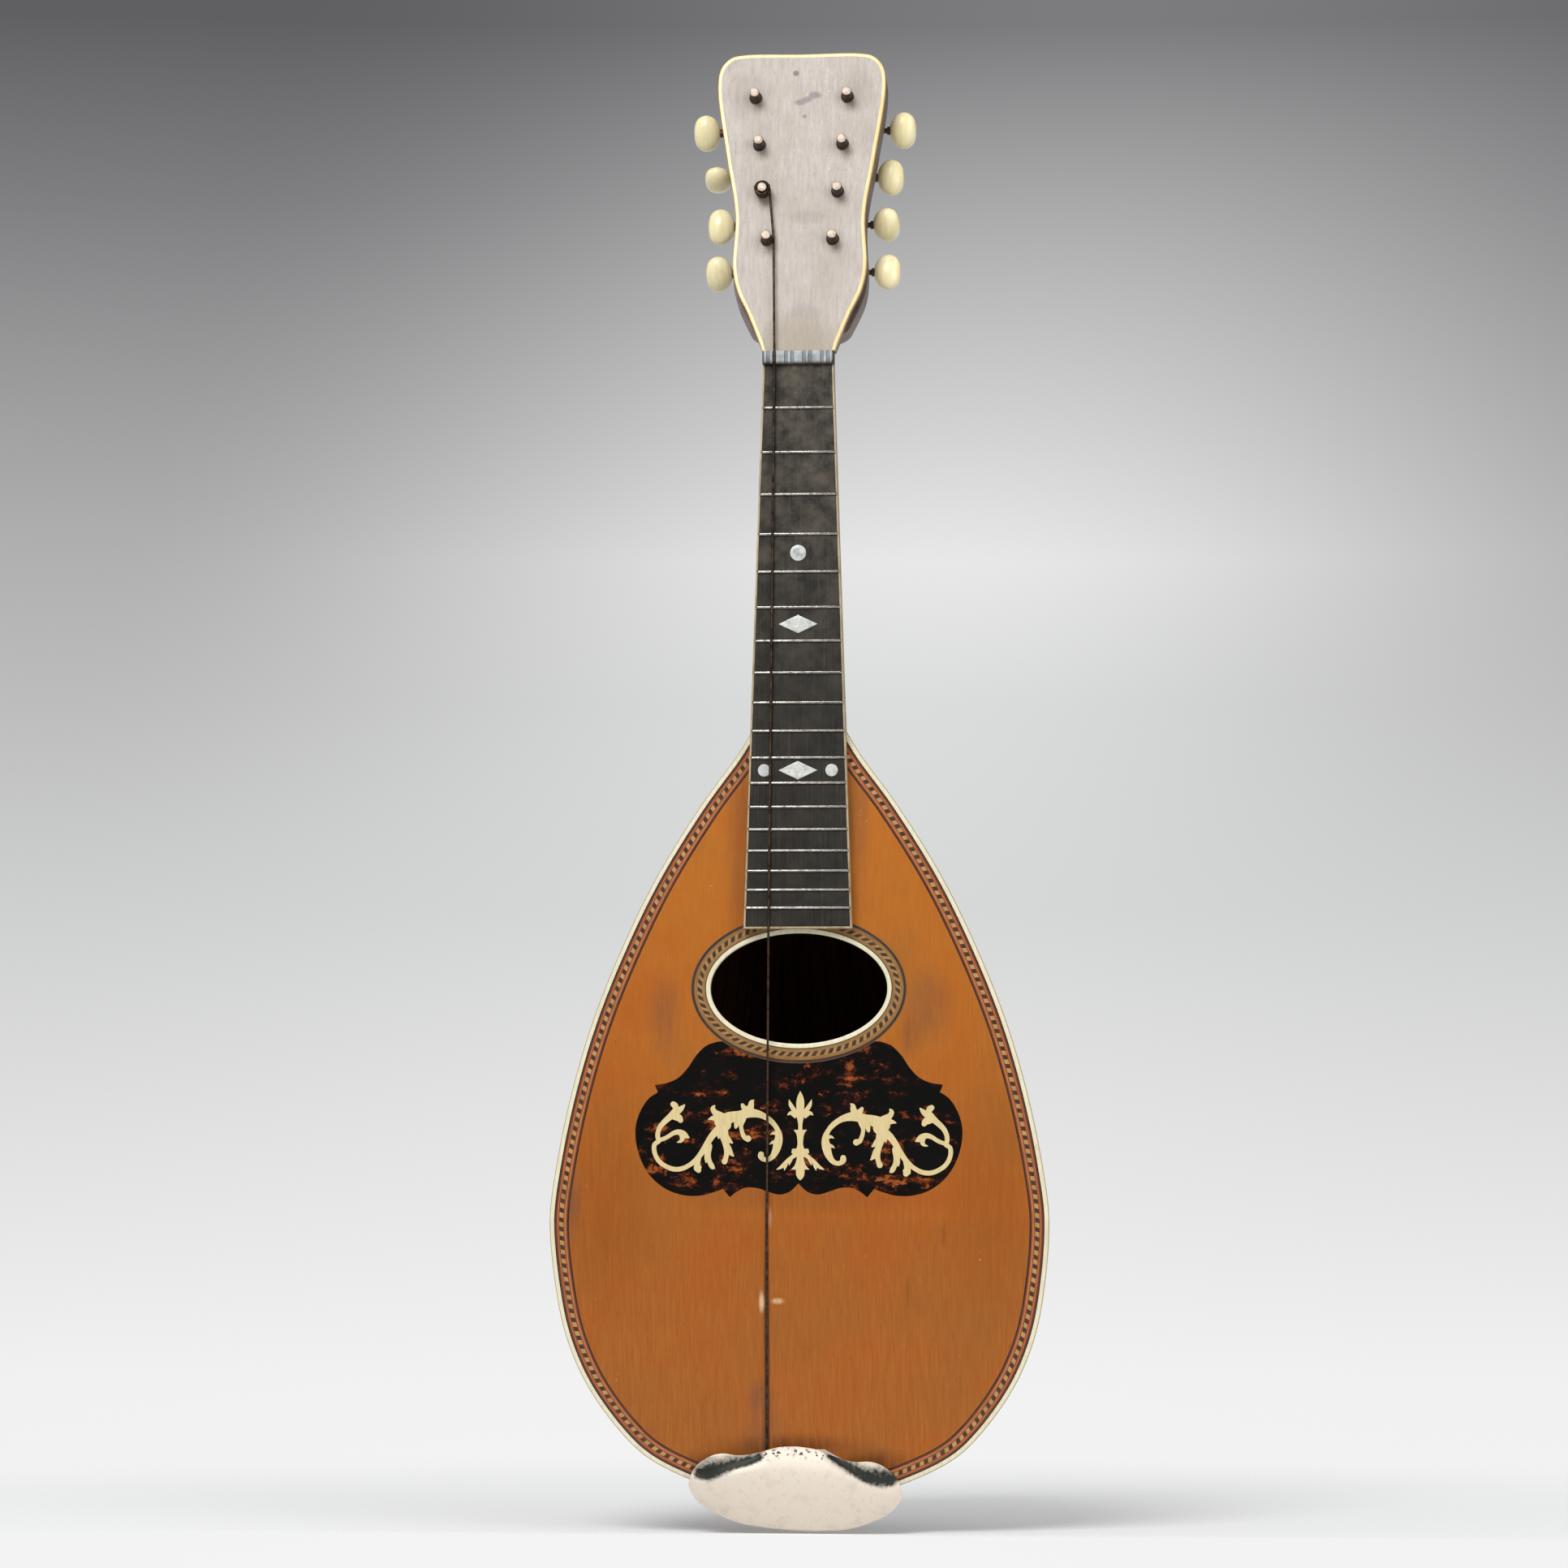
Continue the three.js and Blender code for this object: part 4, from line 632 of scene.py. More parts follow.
# The cover's hollows are painted dark: tarnish together with a painted dark reflection
silverPlate = makeMetal("silver plate", patinaAndPaintedLight=("tarnish", "1f231b", 1.6, 0.9, 1.65, 0.25, 0.3), specks="specks")
brass = makeMetal("aged brass")
rustedSteel = makeMetal("rusted steel")
# The posts' pale tops are wear and a painted highlight
darkSteel = makeMetal("darkened steel", patinaAndPaintedLight=("worn", "e6d2be", 1.2, 1.2, 1.75, 0.6, 0.15))
nickelSilver = makeMetal("nickel silver")
woundBronze = makeMetal("wound bronze", wound=0.5)
print("materials made")


# Body: the same outline as the solids, drawn finer
body = {
    "scale": 330.2,
    "bridgeToTail": 112.5,
    "width": 193,
    "depth": 138,
    "heelDepth": 36,
    "deepest": 0.37,
    "cantAngle": 7.5,
    "topThickness": 2.6,
    "binding": 1.8,
    "purfling": 5.75,
    "ribs": 11,
    "ribThickness": 2.2,
    "seam": 0.2,
    # height and half width of the edge, as shares of the body's length and half width
    "edge": [
        (1, 0.193), (0.97, 0.249), (0.907, 0.391), (0.812, 0.573), (0.717, 0.716), (0.622, 0.832),
        (0.527, 0.917), (0.433, 0.976), (0.366, 1), (0.276, 0.978), (0.213, 0.937), (0.151, 0.855),
        (0.088, 0.714), (0.057, 0.608), (0.026, 0.411), (0.009, 0.238), (0, 0),
    ],
    "widestRow": 8,
    "capRow": 13,
    "steps": 8,
}


def fretZ(number):
    return body["bridgeToTail"] + body["scale"] * 2 ** (-number / 12)


bodyLength = fretZ(10)
cantHeight = body["edge"][body["widestRow"]][0] * bodyLength


# How far the soundboard bends back at a height
def cant(z):
    return max(0, cantHeight - z) * math.tan(math.radians(body["cantAngle"]))


rightEdge = [Vector((half * body["width"] / 2, height * bodyLength)) for height, half in body["edge"]]
tailStep = (len(rightEdge) - 1) * body["steps"]
outline = []
for number, (place, way) in enumerate(smoothPath(rightEdge + mirrored(rightEdge[:-1]), body["steps"])):
    out = Vector((-way.y, way.x))
    if abs(number - tailStep) == tailStep - body["widestRow"] * body["steps"]:
        out = Vector((math.copysign(1, place.x), 0))
    outline.append((place, out))


def inset(distance):
    return [place - out * distance for place, out in outline]


# Rings round an edge from a section of (distance, depth) corners; loopAt(distance) gives the edge as (x, z). Its
# bend is 1 on the soundboard and 0 on the flat headstock
def edgeRings(section, loopAt, bend=1):
    loops = [(loopAt(distance), depth) for distance, depth in section]
    return [[(loop[k][0], depth + bend * cant(loop[k][1]), loop[k][1]) for loop, depth in loops]
            for k in range(len(loops[0][0]))]


# Marks the rounded outer corner of an edging, which its material draws in a darker tone
def markRim(bm, bend=1):
    layer = bm.verts.layers.float.new("rim")
    for vert in bm.verts:
        vert[layer] = 1 if 0.05 < vert.co.y - bend * cant(vert.co.z) < 0.45 else 0
    return bm


thick = body["topThickness"]
edgeWidth = body["binding"]
edgeBack = thick + body["seam"]
stripEnd = edgeWidth + body["purfling"]
section = [(0, edgeBack), (0, 0.55), (0.06, 0.28), (0.2, 0.08), (0.45, 0), (edgeWidth, 0), (edgeWidth, edgeBack)]
makePiece("top_edging", markRim(sweep(edgeRings(section, inset))), edging, "top_binding", 50)
section = [(edgeWidth, 0), (stripEnd, 0), (stripEnd, thick), (edgeWidth, thick)]
makePiece("edge_purfling", sweep(edgeRings(section, inset)), purflingStrips, "top_purfling", 0)
print("edging made")


# Soundboard with its oval hole and the recesses of its inlays
soundhole = {"halfX": 34.3, "halfZ": 21.4, "binding": 1.7, "rosette": 5.8, "inlaid": 1.2, "toBoard": 1.5}
boardEndZ = fretZ(18) - 8
holeZ = boardEndZ - soundhole["toBoard"] - soundhole["halfZ"]


def holeLoop(growth):
    return oval(soundhole["halfX"] + growth, soundhole["halfZ"] + growth, 0, holeZ, 96)


guard = {
    "halfWidth": 63,
    "height": 59.8,
    "toHole": 80.4,
    "thickness": 0.8,
    "notch": 0.089,
    "gap": 0.12,
    # runs of smooth curve between the outline's corners, from the top right down to the notch
    "runs": [
        [(0.498, 1), (0.565, 0.975), (0.629, 0.911), (0.679, 0.833), (0.74, 0.766), (0.816, 0.731),
         (0.883, 0.721)],
        [(0.883, 0.721), (0.865, 0.674)],
        [(0.865, 0.674), (0.922, 0.632), (0.971, 0.554), (1, 0.457), (0.997, 0.346), (0.967, 0.237),
         (0.905, 0.13), (0.81, 0.05), (0.706, 0.013), (0.605, 0.01), (0.521, 0.032), (0.463, 0.054)],
        [(0.463, 0.054), (0.421, 0)],
        [(0.421, 0), (0.386, 0.032)],
        [(0.386, 0.032), (0.33, 0.06), (0.257, 0.06), (0.189, 0.037), (0.119, 0.018), (0.056, 0.035),
         (0, 0.089)],
    ],
}
guardZ = holeZ - guard["toHole"]


def guardLoop(growth):
    half = []
    for run in guard["runs"]:
        points = [(x * guard["halfWidth"], guardZ + z * guard["height"]) for x, z in run]
        half += smoothPoints(points, 5 if len(points) > 2 else 1)[:-1]
    points = half + [Vector((0, guardZ + guard["notch"] * guard["height"]))] + mirrored(half)
    grown = []
    for before, point, after in zip(points[-1:] + points, points, points[1:] + points):
        way = (after - before).normalized()
        grown.append((point.x - growth * way.y, point.y + growth * way.x))
    return grown


# Bends a flat mesh back with the soundboard below its widest point
def bendBack(bm):
    cutAlong(bm, (0, 0, cantHeight), (0, 0, 1), near=1e-5)
    for vert in bm.verts:
        vert.co.y += cant(vert.co.z)
    return bm


inner = inset(stripEnd)
boardLoop = [(inner[0].x, bodyLength), *inner, (-inner[0].x, bodyLength)]
rim = soundhole["binding"]
recess = rim + soundhole["rosette"]
depth = soundhole["inlaid"]
rooms = [plate([holeLoop(recess)], -1, depth), plate([guardLoop(guard["gap"])], -1, guard["thickness"])]
top = combine(plate([boardLoop, holeLoop(rim)], 0, thick), rooms, "DIFFERENCE")
makePiece("top_board", bendBack(top), spruce, "soundboard", 0)
section = [(0, thick), (0, 0.4), (0.12, 0.12), (0.4, 0), (rim, 0), (rim, thick)]
makePiece("soundhole_edging", sweep(edgeRings(section, holeLoop), True), edging, "soundhole_binding", 50)
section = [(rim, 0), (recess, 0), (recess, depth), (rim, depth)]
makePiece("rosette_strips", sweep(edgeRings(section, holeLoop), True), rosetteStrips, "rosette", 0)
room = plate([holeLoop(recess + 0.1)], -1, 2)
guardPlate = combine(plate([guardLoop(0)], 0, guard["thickness"]), [room], "DIFFERENCE")
makePiece("guard_plate", guardPlate, tortoiseshell, "pickguard", 0)
print("soundboard made")


# Leaf scrolls inlaid in the guard: tapered strokes (across from the outer end, up, width)
scroll = {
    "height": 27.6,
    "width": 1.815,
    "toMiddle": {-1: 6.8, 1: 9.6},
    "lift": {-1: 9.3, 1: 7.9},
    "stand": 0.12,
    "strokes": [
        [(.099, .438, .062), (.042, .398, .063), (.035, .319, .063), (.060, .231, .063), (.113, .152, .063),
         (.192, .095, .063), (.280, .057, .066), (.359, .048, .066), (.447, .064, .066), (.526, .104, .063),
         (.605, .161, .070), (.675, .240, .075), (.746, .346, .084), (.807, .451, .088), (.869, .539, .097),
         (.948, .601, .132), (1.036, .671, .167)],
        [(.099, .434, .044), (.086, .495, .066), (.088, .566, .065), (.121, .645, .070), (.183, .715, .076),
         (.253, .777, .088), (.315, .838, .099), (.341, .895, .081), (.325, .939, .088), (.302, .957, .079)],
        [(.341, .838, .088), (.412, .895, .074), (.466, .954, .012)],
        [(.315, .794, .106), (.385, .763, .099), (.405, .733, .074)],
        [(.095, .451, .053), (.165, .473, .057), (.236, .508, .057), (.297, .548, .062), (.368, .568, .074),
         (.438, .546, .088), (.491, .508, .063), (.531, .488, .012)],
        [(.416, .552, .074), (.431, .495, .072), (.416, .447, .053), (.354, .423, .011)],
        [(.658, .205, .079), (.640, .117, .086), (.651, .060, .114), (.660, .038, .079)],
        [(.799, .372, .106), (.788, .249, .088), (.816, .152, .067), (.856, .082, .070), (.890, .061, .014)],
        [(.781, .284, .062), (.768, .205, .053), (.765, .139, .012)],
        [(.996, .601, .150), (1.036, .442, .106), (1.058, .319, .081), (1.045, .214, .067),
         (1.025, .157, .081)],
        [(1.058, .478, .097), (1.128, .420, .030)],
        [(1.071, .354, .088), (1.115, .271, .063), (1.157, .228, .011)],
        [(.945, .566, .079), (.942, .476, .020)],
        [(.953, .750, .114), (.865, .763, .070), (.792, .744, .009)],
        [(.961, .785, .132), (.875, .856, .074), (.861, .900, .069), (.889, .942, .012)],
        [(.970, .715, .185), (1.102, .772, .158), (1.234, .799, .132), (1.357, .834, .132),
         (1.480, .825, .107), (1.586, .785, .081), (1.682, .715, .074), (1.753, .627, .067),
         (1.786, .530, .095), (1.775, .425, .121), (1.748, .319, .107), (1.700, .231, .079),
         (1.639, .186, .065), (1.573, .189, .067), (1.537, .227, .084), (1.537, .258, .081)],
        [(1.770, .544, .062), (1.704, .552, .039), (1.663, .530, .007)],
        [(1.744, .425, .070), (1.696, .422, .044), (1.653, .395, .007)],
        [(1.366, .856, .132), (1.394, .935, .084), (1.403, .983, .069), (1.439, 1.017, .007)],
        [(1.357, .856, .106), (1.291, .917, .069), (1.275, .945, .049)],
        [(1.269, .750, .114), (1.256, .653, .058), (1.271, .566, .058), (1.306, .493, .067),
         (1.353, .476, .091)],
        [(1.199, .724, .079), (1.186, .653, .058), (1.181, .634, .039)],
    ],
}
# The upright ornament between them: (aside, up, width)
spindle = {
    "height": 34.3,
    "lift": 6.4,
    "aside": 0.7,
    "middle": [
        [(0, 1, .004), (0, .931, .069), (0, .866, .090), (0, .775, .081), (0, .714, .078), (0, .634, .048),
         (0, .562, .045)],
        [(0, .567, .149), (0, .560, .141), (0, .518, .086), (0, .460, .067), (0, .402, .062),
         (0, .341, .091), (0, .272, .072), (0, .207, .096), (0, .159, .138), (0, .121, .210)],
        [(0, .185, .087), (0, .121, .096), (0, .069, .093), (0, .033, .067), (0, 0, .004)],
    ],
    "sides": [
        [(.023, .721, .065), (.070, .786, .052), (.110, .851, .042), (.127, .907, .004)],
        [(.041, .721, .065), (.107, .756, .045), (.144, .731, .010)],
        [(.020, .312, .072), (.074, .326, .061), (.096, .331, .043)],
        [(.027, .301, .058), (.092, .261, .045), (.157, .203, .048), (.208, .154, .041),
         (.267, .120, .010)],
        [(.157, .207, .043), (.170, .149, .033), (.180, .111, .006)],
        [(.099, .257, .043), (.117, .207, .032), (.126, .169, .006)],
    ],
}


# One stroke as a thin plate, with blunt ends that are rounded where it is broad
def strokePlate(points, blunt):
    left, middle, right = [], [], []
    for place, way in smoothPath(points, 3):
        way = Vector((way.x, way.y)).normalized()
        out = Vector((-way.y, way.x)) * place.z / 2
        middle.append(Vector((place.x, place.y)))
        left.append(middle[-1] + out)
        right.append(middle[-1] - out)

    def cap(at, edge):
        if not blunt or (left[at] - right[at]).length <= 0.6:
            return []
        arm = edge[at] - middle[at]
        return [middle[at] + Matrix.Rotation(-math.pi * k / 6, 2) @ arm for k in range(1, 6)]

    return plate([left + cap(-1, left) + right[::-1] + cap(0, right)], -scroll["stand"], 0.02)


# An inlay from strokes, scaled and put side by side: (strokes, their middle's x, which way they go)
def inlayPiece(name, groups, size, bottom, node, blunt=True):
    plates = [strokePlate([(x + side * aside * size, bottom + up * size, width * size)
                           for aside, up, width in points], blunt)
              for strokes, x, side in groups for points in strokes]
    makePiece(name, combine(plates[0], plates[1:], "UNION"), inlay, node, 0)


for side, word in sides:
    outer = side * (scroll["toMiddle"][side] + scroll["width"] * scroll["height"])
    inlayPiece("scroll_inlay_" + word, [(scroll["strokes"], outer, -side)], scroll["height"],
               guardZ + scroll["lift"][side], "scroll_" + word)
groups = [(spindle[part], spindle["aside"], side) for part, side in (("middle", 1), ("sides", -1), ("sides", 1))]
inlayPiece("scroll_inlay_middle", groups, spindle["height"], guardZ + spindle["lift"], "scroll_middle", False)
print("inlays made")


# Bowl: staves that are flat across and curved along, with pale lines let in between them
ribTop = edgeBack
deepZ = body["deepest"] * bodyLength
edgeCurve = smoothPoints(rightEdge, body["steps"])
capStation = body["capRow"] * body["steps"]
bowlMiddle = Vector((0, 40, 110))
ribLine = {"half": 0.028, "proud": 0.06, "deep": 0.6}  # half width as a share of a rib, heights in mm
capBand = {"steps": 66, "lap": 0.9}  # points across, how far its edge reaches into the staves in mm


def keelY(z):
    edgeY = ribTop + cant(0)
    if z < deepZ:
        return edgeY + (body["depth"] - edgeY) * math.sqrt(max(0, 1 - ((deepZ - z) / deepZ) ** 2))
    share = (z - deepZ) / (bodyLength - deepZ)
    return body["heelDepth"] + (body["depth"] - body["heelDepth"]) * math.cos(share * math.pi / 2)


# A point of the round bowl: station along the edge, joint across it
def roundPoint(station, joint):
    x, z = edgeCurve[station]
    edgeY = ribTop + cant(z)
    turn = -math.pi / 2 + joint * math.pi / body["ribs"]
    return Vector((x * math.sin(turn), edgeY + (keelY(z) - edgeY) * math.cos(turn), z))


# A point of the bowl with its flat ribs, and how far it is sunk in
def bowlPoint(station, joint, sink):
    def surface(at, across):
        low = min(body["ribs"] - 1, int(across))
        return roundPoint(at, low).lerp(roundPoint(at, low + 1), across - low)

    point = surface(station, joint)
    if sink:
        before, after = surface(max(0, station - 1), joint), surface(min(len(edgeCurve) - 1, station + 1), joint)
        low, high = max(0, joint - 0.05), min(body["ribs"], joint + 0.05)
        inward = (before - after).cross(surface(station, low) - surface(station, high))
        if station == 0:
            inward.z = 0
        if inward.length < 1e-9:
            inward = Vector((0, 0, 1))
        inward.normalize()
        if inward.dot(bowlMiddle - point) < 0:
            inward.negate()
        point = point + inward * sink
    return point


# A strip of the bowl between two joints; sinks are for its outer and its inner face
def ribMesh(first, last, columns, sinks):
    stations = range(0, capStation + 1, 2)
    count = 2 * columns + 2

    def place(i, j):
        back = j % count > columns
        share = (count - 1 - j % count if back else j % count) / columns
        return bowlPoint(stations[i], first + (last - first) * share, sinks[back])

    return closeMesh(gridMesh(len(stations) - 1, count, place))


for number in range(body["ribs"]):
    name = f"rib_{number + 1:02d}"
    stave = ribMesh(number, number + 1, 3, (0, body["ribThickness"]))
    makePiece(name + "_stave", stave, rosewood, name, 25)
for number in range(1, body["ribs"]):
    line = ribMesh(number - ribLine["half"], number + ribLine["half"], 2, (-ribLine["proud"], ribLine["deep"]))
    makePiece(f"rib_line_{number:02d}", line, mapleLines, smooth=25)
print("staves made")

# Tail cap: one smooth band over the ends of the staves
stations = range(capStation, len(edgeCurve))
rings = []
for step in range(capBand["steps"] + 1):
    joint = step / capBand["steps"] * body["ribs"]
    rings.append([bowlPoint(capStation, joint, capBand["lap"])]
                 + [roundPoint(station, joint) for station in stations]
                 + [bowlPoint(station, joint, body["ribThickness"]) for station in reversed(stations)])
makePiece("tail_cap_band", sweep(rings), rosewood, "tail_cap", 40)
for node in ["tail_block", "neck_block", "lining_left", "lining_right", "brace_upper", "brace_lower",
             "brace_bridge"]:
    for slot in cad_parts[node].material_slots:
        slot.material = paleWood
print("bowl made")


# Neck and headstock
neck = {
    "boardNut": 27.5,
    "boardEnd": 42,
    "boardThickness": 5.5,
    "boardBinding": 0.75,
    "nutLength": 5.4,
    "nutToBoard": 1.7,
    "shaft": [(0, 36), (11.3, 26), (34, 21), (90, 19)],  # up from the body, depth
    "nutDepth": 17,
    "join": (8.5, 13.9, 1.5),  # up from the head's foot, half width, front
    "volute": (17, 6.95, 0.2),  # up, half width, how far its back lies under the head's
    "headAngle": 8,
    "headRise": 4.5,
    "headLength": 121.9,
    "headWidth": 66.4,
    "headThickness": 15.5,
    "veneer": 1.5,
    "posts": ((12.9, 1.73), (44.9, 19.62)),  # out and up to the first pair, and each time further
    "postHole": 2.35,
    # up and half width of the head's face and of its rear, as shares of its length and half width
    "head": [(0, 0.431), (0.118, 0.6), (0.199, 0.735), (0.28, 0.792), (0.451, 0.768), (0.654, 0.883),
             (0.889, 1), (0.955, 0.965), (0.99, 0.85), (1, 0.7), (1, 0)],
    "shoulder": [(0.049, 0.35), (0.054, 0.44), (0.074, 0.57), (0.098, 0.62), (0.134, 0.685), (0.178, 0.75),
                 (0.223, 0.785)],
}
nutFront = fretZ(0) - neck["nutToBoard"]
nutBack = nutFront + neck["nutLength"]
headTilt = math.radians(neck["headAngle"])
headZ = nutBack + body["seam"] + neck["headRise"] * math.tan(headTilt)
headPlace = shift((0, -neck["headRise"] * mm, headZ * mm)) @ Matrix.Rotation(-headTilt, 4, "X")
headDepth = neck["headThickness"]
posts = [tuple(first + row * step for first, step in neck["posts"]) for row in range(4)]


def boardHalf(z):
    share = (nutFront - z) / (nutFront - boardEndZ)
    return (neck["boardNut"] + share * (neck["boardEnd"] - neck["boardNut"])) / 2


def headBack(z):
    return headDepth - neck["headRise"] + (z - headZ) * math.tan(headTilt)


# The headstock's outline from its lower right over the top, moved inwards, as (x, s)
def headLoop(distance, shares=neck["head"], lowest=-0.5):
    right = [Vector((half * neck["headWidth"] / 2, s * neck["headLength"])) for s, half in shares]
    points = [(p.x - distance * way.y, p.y + distance * way.x)
              for p, way in smoothPath(right + mirrored(right[:-1]), 6)]
    return [(x, lowest if k in (0, len(points) - 1) else max(lowest, s)) for k, (x, s) in enumerate(points)]


# D-shaped rings down the neck: (height, half width, front, back)
joinUp, joinHalf, joinFront = neck["join"]
voluteUp, voluteHalf, voluteSink = neck["volute"]
joinZ, voluteZ = headZ + joinUp, headZ + voluteUp
neckRings = [(bodyLength + up, boardHalf(bodyLength + up), 0, back) for up, back in neck["shaft"]]
neckRings += [(nutBack, boardHalf(nutFront), 0, neck["nutDepth"]),
              (joinZ, joinHalf, joinFront, (neck["nutDepth"] + headBack(joinZ)) / 2),
              (voluteZ, voluteHalf, headDepth / 2, headBack(voluteZ) - voluteSink)]
rings = []
for z, half, front, back in smoothPoints(neckRings, 8):
    arc = [-math.pi / 2 + math.pi * k / 28 for k in range(29)]
    rings.append([(half * math.sin(turn), front + (back - front) * math.cos(turn), z) for turn in arc])
shaft = toMetres(sweep(rings))
hole = neck["postHole"]
postHoles = [oval(hole, hole, side * x, s, 24) for x, s in posts for side, word in sides]
headFront = plate([headLoop(0, lowest=0)] + postHoles, neck["veneer"], 6.5)
headRear = plate([headLoop(0, neck["shoulder"] + neck["head"][3:], 0)] + postHoles, 5, headDepth)
roundCorners(headRear, 1.2, 3, 0.8, headDepth)
neckWood = combine(shaft, [toMetres(headFront, headPlace), toMetres(headRear, headPlace)], "UNION")
makePiece("neck_and_head", neckWood, mahogany, "neck", 35, metres=True)

face = plate([headLoop(1.55)] + postHoles, 0, neck["veneer"])
makePiece("head_veneer", face, greyVeneer, "headstock_veneer", 0, headPlace)
section = [(0, 1.5), (0, 0.35), (0.1, 0.1), (0.35, 0), (1.5, 0), (1.5, 1.5)]
headEdge = markRim(sweep(edgeRings(section, headLoop, 0)), 0)
makePiece("head_edging", headEdge, headEdging, "headstock_binding", 50, headPlace)

# The nut, rubbed pale where strings and fingers passed
stringNut = softened("nut", 0.0003)
rubbed = stringNut.verts.layers.float.new("rubbed")
nutTop = min(vert.co.y for vert in stringNut.verts)
rubbedHalf, rubbedFront = (neck["boardNut"] / 2 - 0.9) * mm, (nutFront + 1.5) * mm
for place, way in (((rubbedHalf, 0, 0), (1, 0, 0)), ((-rubbedHalf, 0, 0), (1, 0, 0)),
                   ((0, 0, rubbedFront), (0, 0, 1))):
    cutAlong(stringNut, place, way)
for vert in stringNut.verts:
    within = abs(vert.co.x) < rubbedHalf + 1e-6 and vert.co.z > rubbedFront - 1e-6
    level = 1 if vert.co.y < nutTop + 0.15 * mm else 0.55 if vert.co.y < nutTop + 1.1 * mm else 0
    vert[rubbed] = level if within else 0
makePiece("string_nut", stringNut, ebony, "nut", 40, metres=True)
print("neck made")


# Fingerboard, its frets and its pearl markers
board = {
    "frets": 18,
    "fretWidth": 1.2,
    "fretHeight": 0.9,
    # fret space, side, radius; a diamond has no radius
    "markers": {"fifth": (5, 0, 3.1), "twelfth_left": (12, -1, 2.4), "twelfth_right": (12, 1, 2.4),
                "seventh": (7, 0, None), "twelfth_middle": (12, 0, None)},
    "diamond": (15.2, 7.2),
    "aside": 0.69,
    "depth": 0.8,
}
boardFace = -neck["boardThickness"]
markerBack = boardFace + board["depth"]


def markerLoop(number, side, radius, growth):
    z = (fretZ(number) + fretZ(number - 1)) / 2
    if radius:
        return oval(radius + growth, radius + growth, side * board["aside"] * boardHalf(z), z, 40)
    halfX, halfZ = [size / 2 for size in board["diamond"]]
    return [(halfX + 2 * growth, z), (0, z + halfZ + growth), (-halfX - 2 * growth, z), (0, z - halfZ - growth)]


lowZ = boardEndZ + neck["boardBinding"]
lowHalf = boardHalf(lowZ) - neck["boardBinding"]
highHalf = boardHalf(nutFront) - neck["boardBinding"]
boardPlate = plate([[(-lowHalf, lowZ), (lowHalf, lowZ), (highHalf, nutFront), (-highHalf, nutFront)]],
                   boardFace, 0)
rooms = [plate([markerLoop(*mark, 0.1 if mark[2] else 0.12)], boardFace - 1, markerBack)
         for mark in board["markers"].values()]
makePiece("board_wood", combine(boardPlate, rooms, "DIFFERENCE"), ebony, "fingerboard", 0)
for name, mark in board["markers"].items():
    width, ending = (0.15, "_dot") if mark[2] else (0.12, "_diamond")
    stone = roundCorners(plate([markerLoop(*mark, 0)], boardFace, markerBack), width, 3, 0.8, boardFace)
    makePiece("marker_" + name + ending, stone, pearl, "marker_" + name, 40)
lowest, highest = boardHalf(boardEndZ), boardHalf(nutFront)
edgeLoop = [(-lowest, boardEndZ), (lowest, boardEndZ), (highest, nutFront), (highHalf + 0.02, nutFront),
            (lowHalf + 0.02, lowZ - 0.02), (-lowHalf - 0.02, lowZ - 0.02), (-highHalf - 0.02, nutFront),
            (-highest, nutFront)]
boardEdge = roundCorners(plate([edgeLoop], boardFace, 0), 0.2, 3, 0.8, boardFace)
makePiece("board_edging", boardEdge, boardEdging, "fingerboard_binding", 40)


# A fret that tapers off at both ends: (distance from its end, share of its height)
def fretBar(number):
    z = fretZ(number)
    half = boardHalf(z) - 0.35
    ends = [(0, 0.1), (0.12, 0.6), (0.4, 0.92), (0.8, 1)]
    rings = []
    for x, size in [(-half + far, size) for far, size in ends] + [(half - far, size) for far, size in ends[::-1]]:
        arc = [math.pi * k / 10 for k in range(11)]
        rings.append([(x, boardFace + 0.1 - (board["fretHeight"] + 0.1) * size * math.sin(turn) ** 0.8,
                       z - board["fretWidth"] / 2 * math.cos(turn)) for turn in arc])
    return sweep(rings)


frets = joinMeshes([fretBar(number) for number in range(1, board["frets"] + 1)])
makePiece("fret_wires", frets, nickelSilver, smooth=40)
print("fingerboard made")


# Tuning machines
machine = {
    "radius": 2.05,
    "plateBack": 16.7,
    "gearRadius": 5,
    "gearHalf": 1.6,
    "tooth": 0.5,
    "teeth": 14,
    "keyDepth": 19.5,
    "keyDrop": 7.3,
    # screws of a plate by each post: aside from it, down from it, turn of the slot
    "screws": [[(0, 10.9, 15)], *[[(-6.1, 13, 60 * row), (3.2, 13, 35 * row)] for row in (1, 2, 3)]],
    "earOuter": 3.544,
    "shaftTail": 0.6,
    "buttonLength": 10.7,
    "buttonWidth": 14.4,
    "buttonThickness": 8,
    "buttonStarts": [15, 12.7, 12.5, 15.5],
    "turns": {-1: [35, 5, 75, 26], 1: [0, 47, 8, 22]},
    # up from the face: radius and height of a worn post with its collar
    "post": [(0, 7.12), (0.8, 7.2), (1.4, 7.16), (1.75, 7.0), (1.92, 6.7), (1.96, 6.0), (1.9, 4.8), (1.92, 3.2),
             (2.0, 2.0), (2.1, 1.5), (2.35, 1.1), (2.5, 0.9), (2.55, 0.6), (2.5, 0.32), (2.05, 0.3),
             (2.05, -17.8), (2.05, -21.1), (0, -21.1)],
    "wornAndLitAbove": 6.85,
    # radius and distance out of a button, as shares of its half width and length
    "button": [(0, 0), (0.2, 0.012), (0.4, 0.045), (0.6, 0.11), (0.78, 0.2), (0.92, 0.33), (0.99, 0.47),
               (1, 0.55), (0.96, 0.68), (0.84, 0.82), (0.66, 0.915), (0.4, 0.975), (0, 1)],
}
lead = 2 * math.pi * machine["gearRadius"] / machine["teeth"]  # the worm's, and half its length
outOfFace = rotation(90, "X")
toBack = rotation(-90, "X")


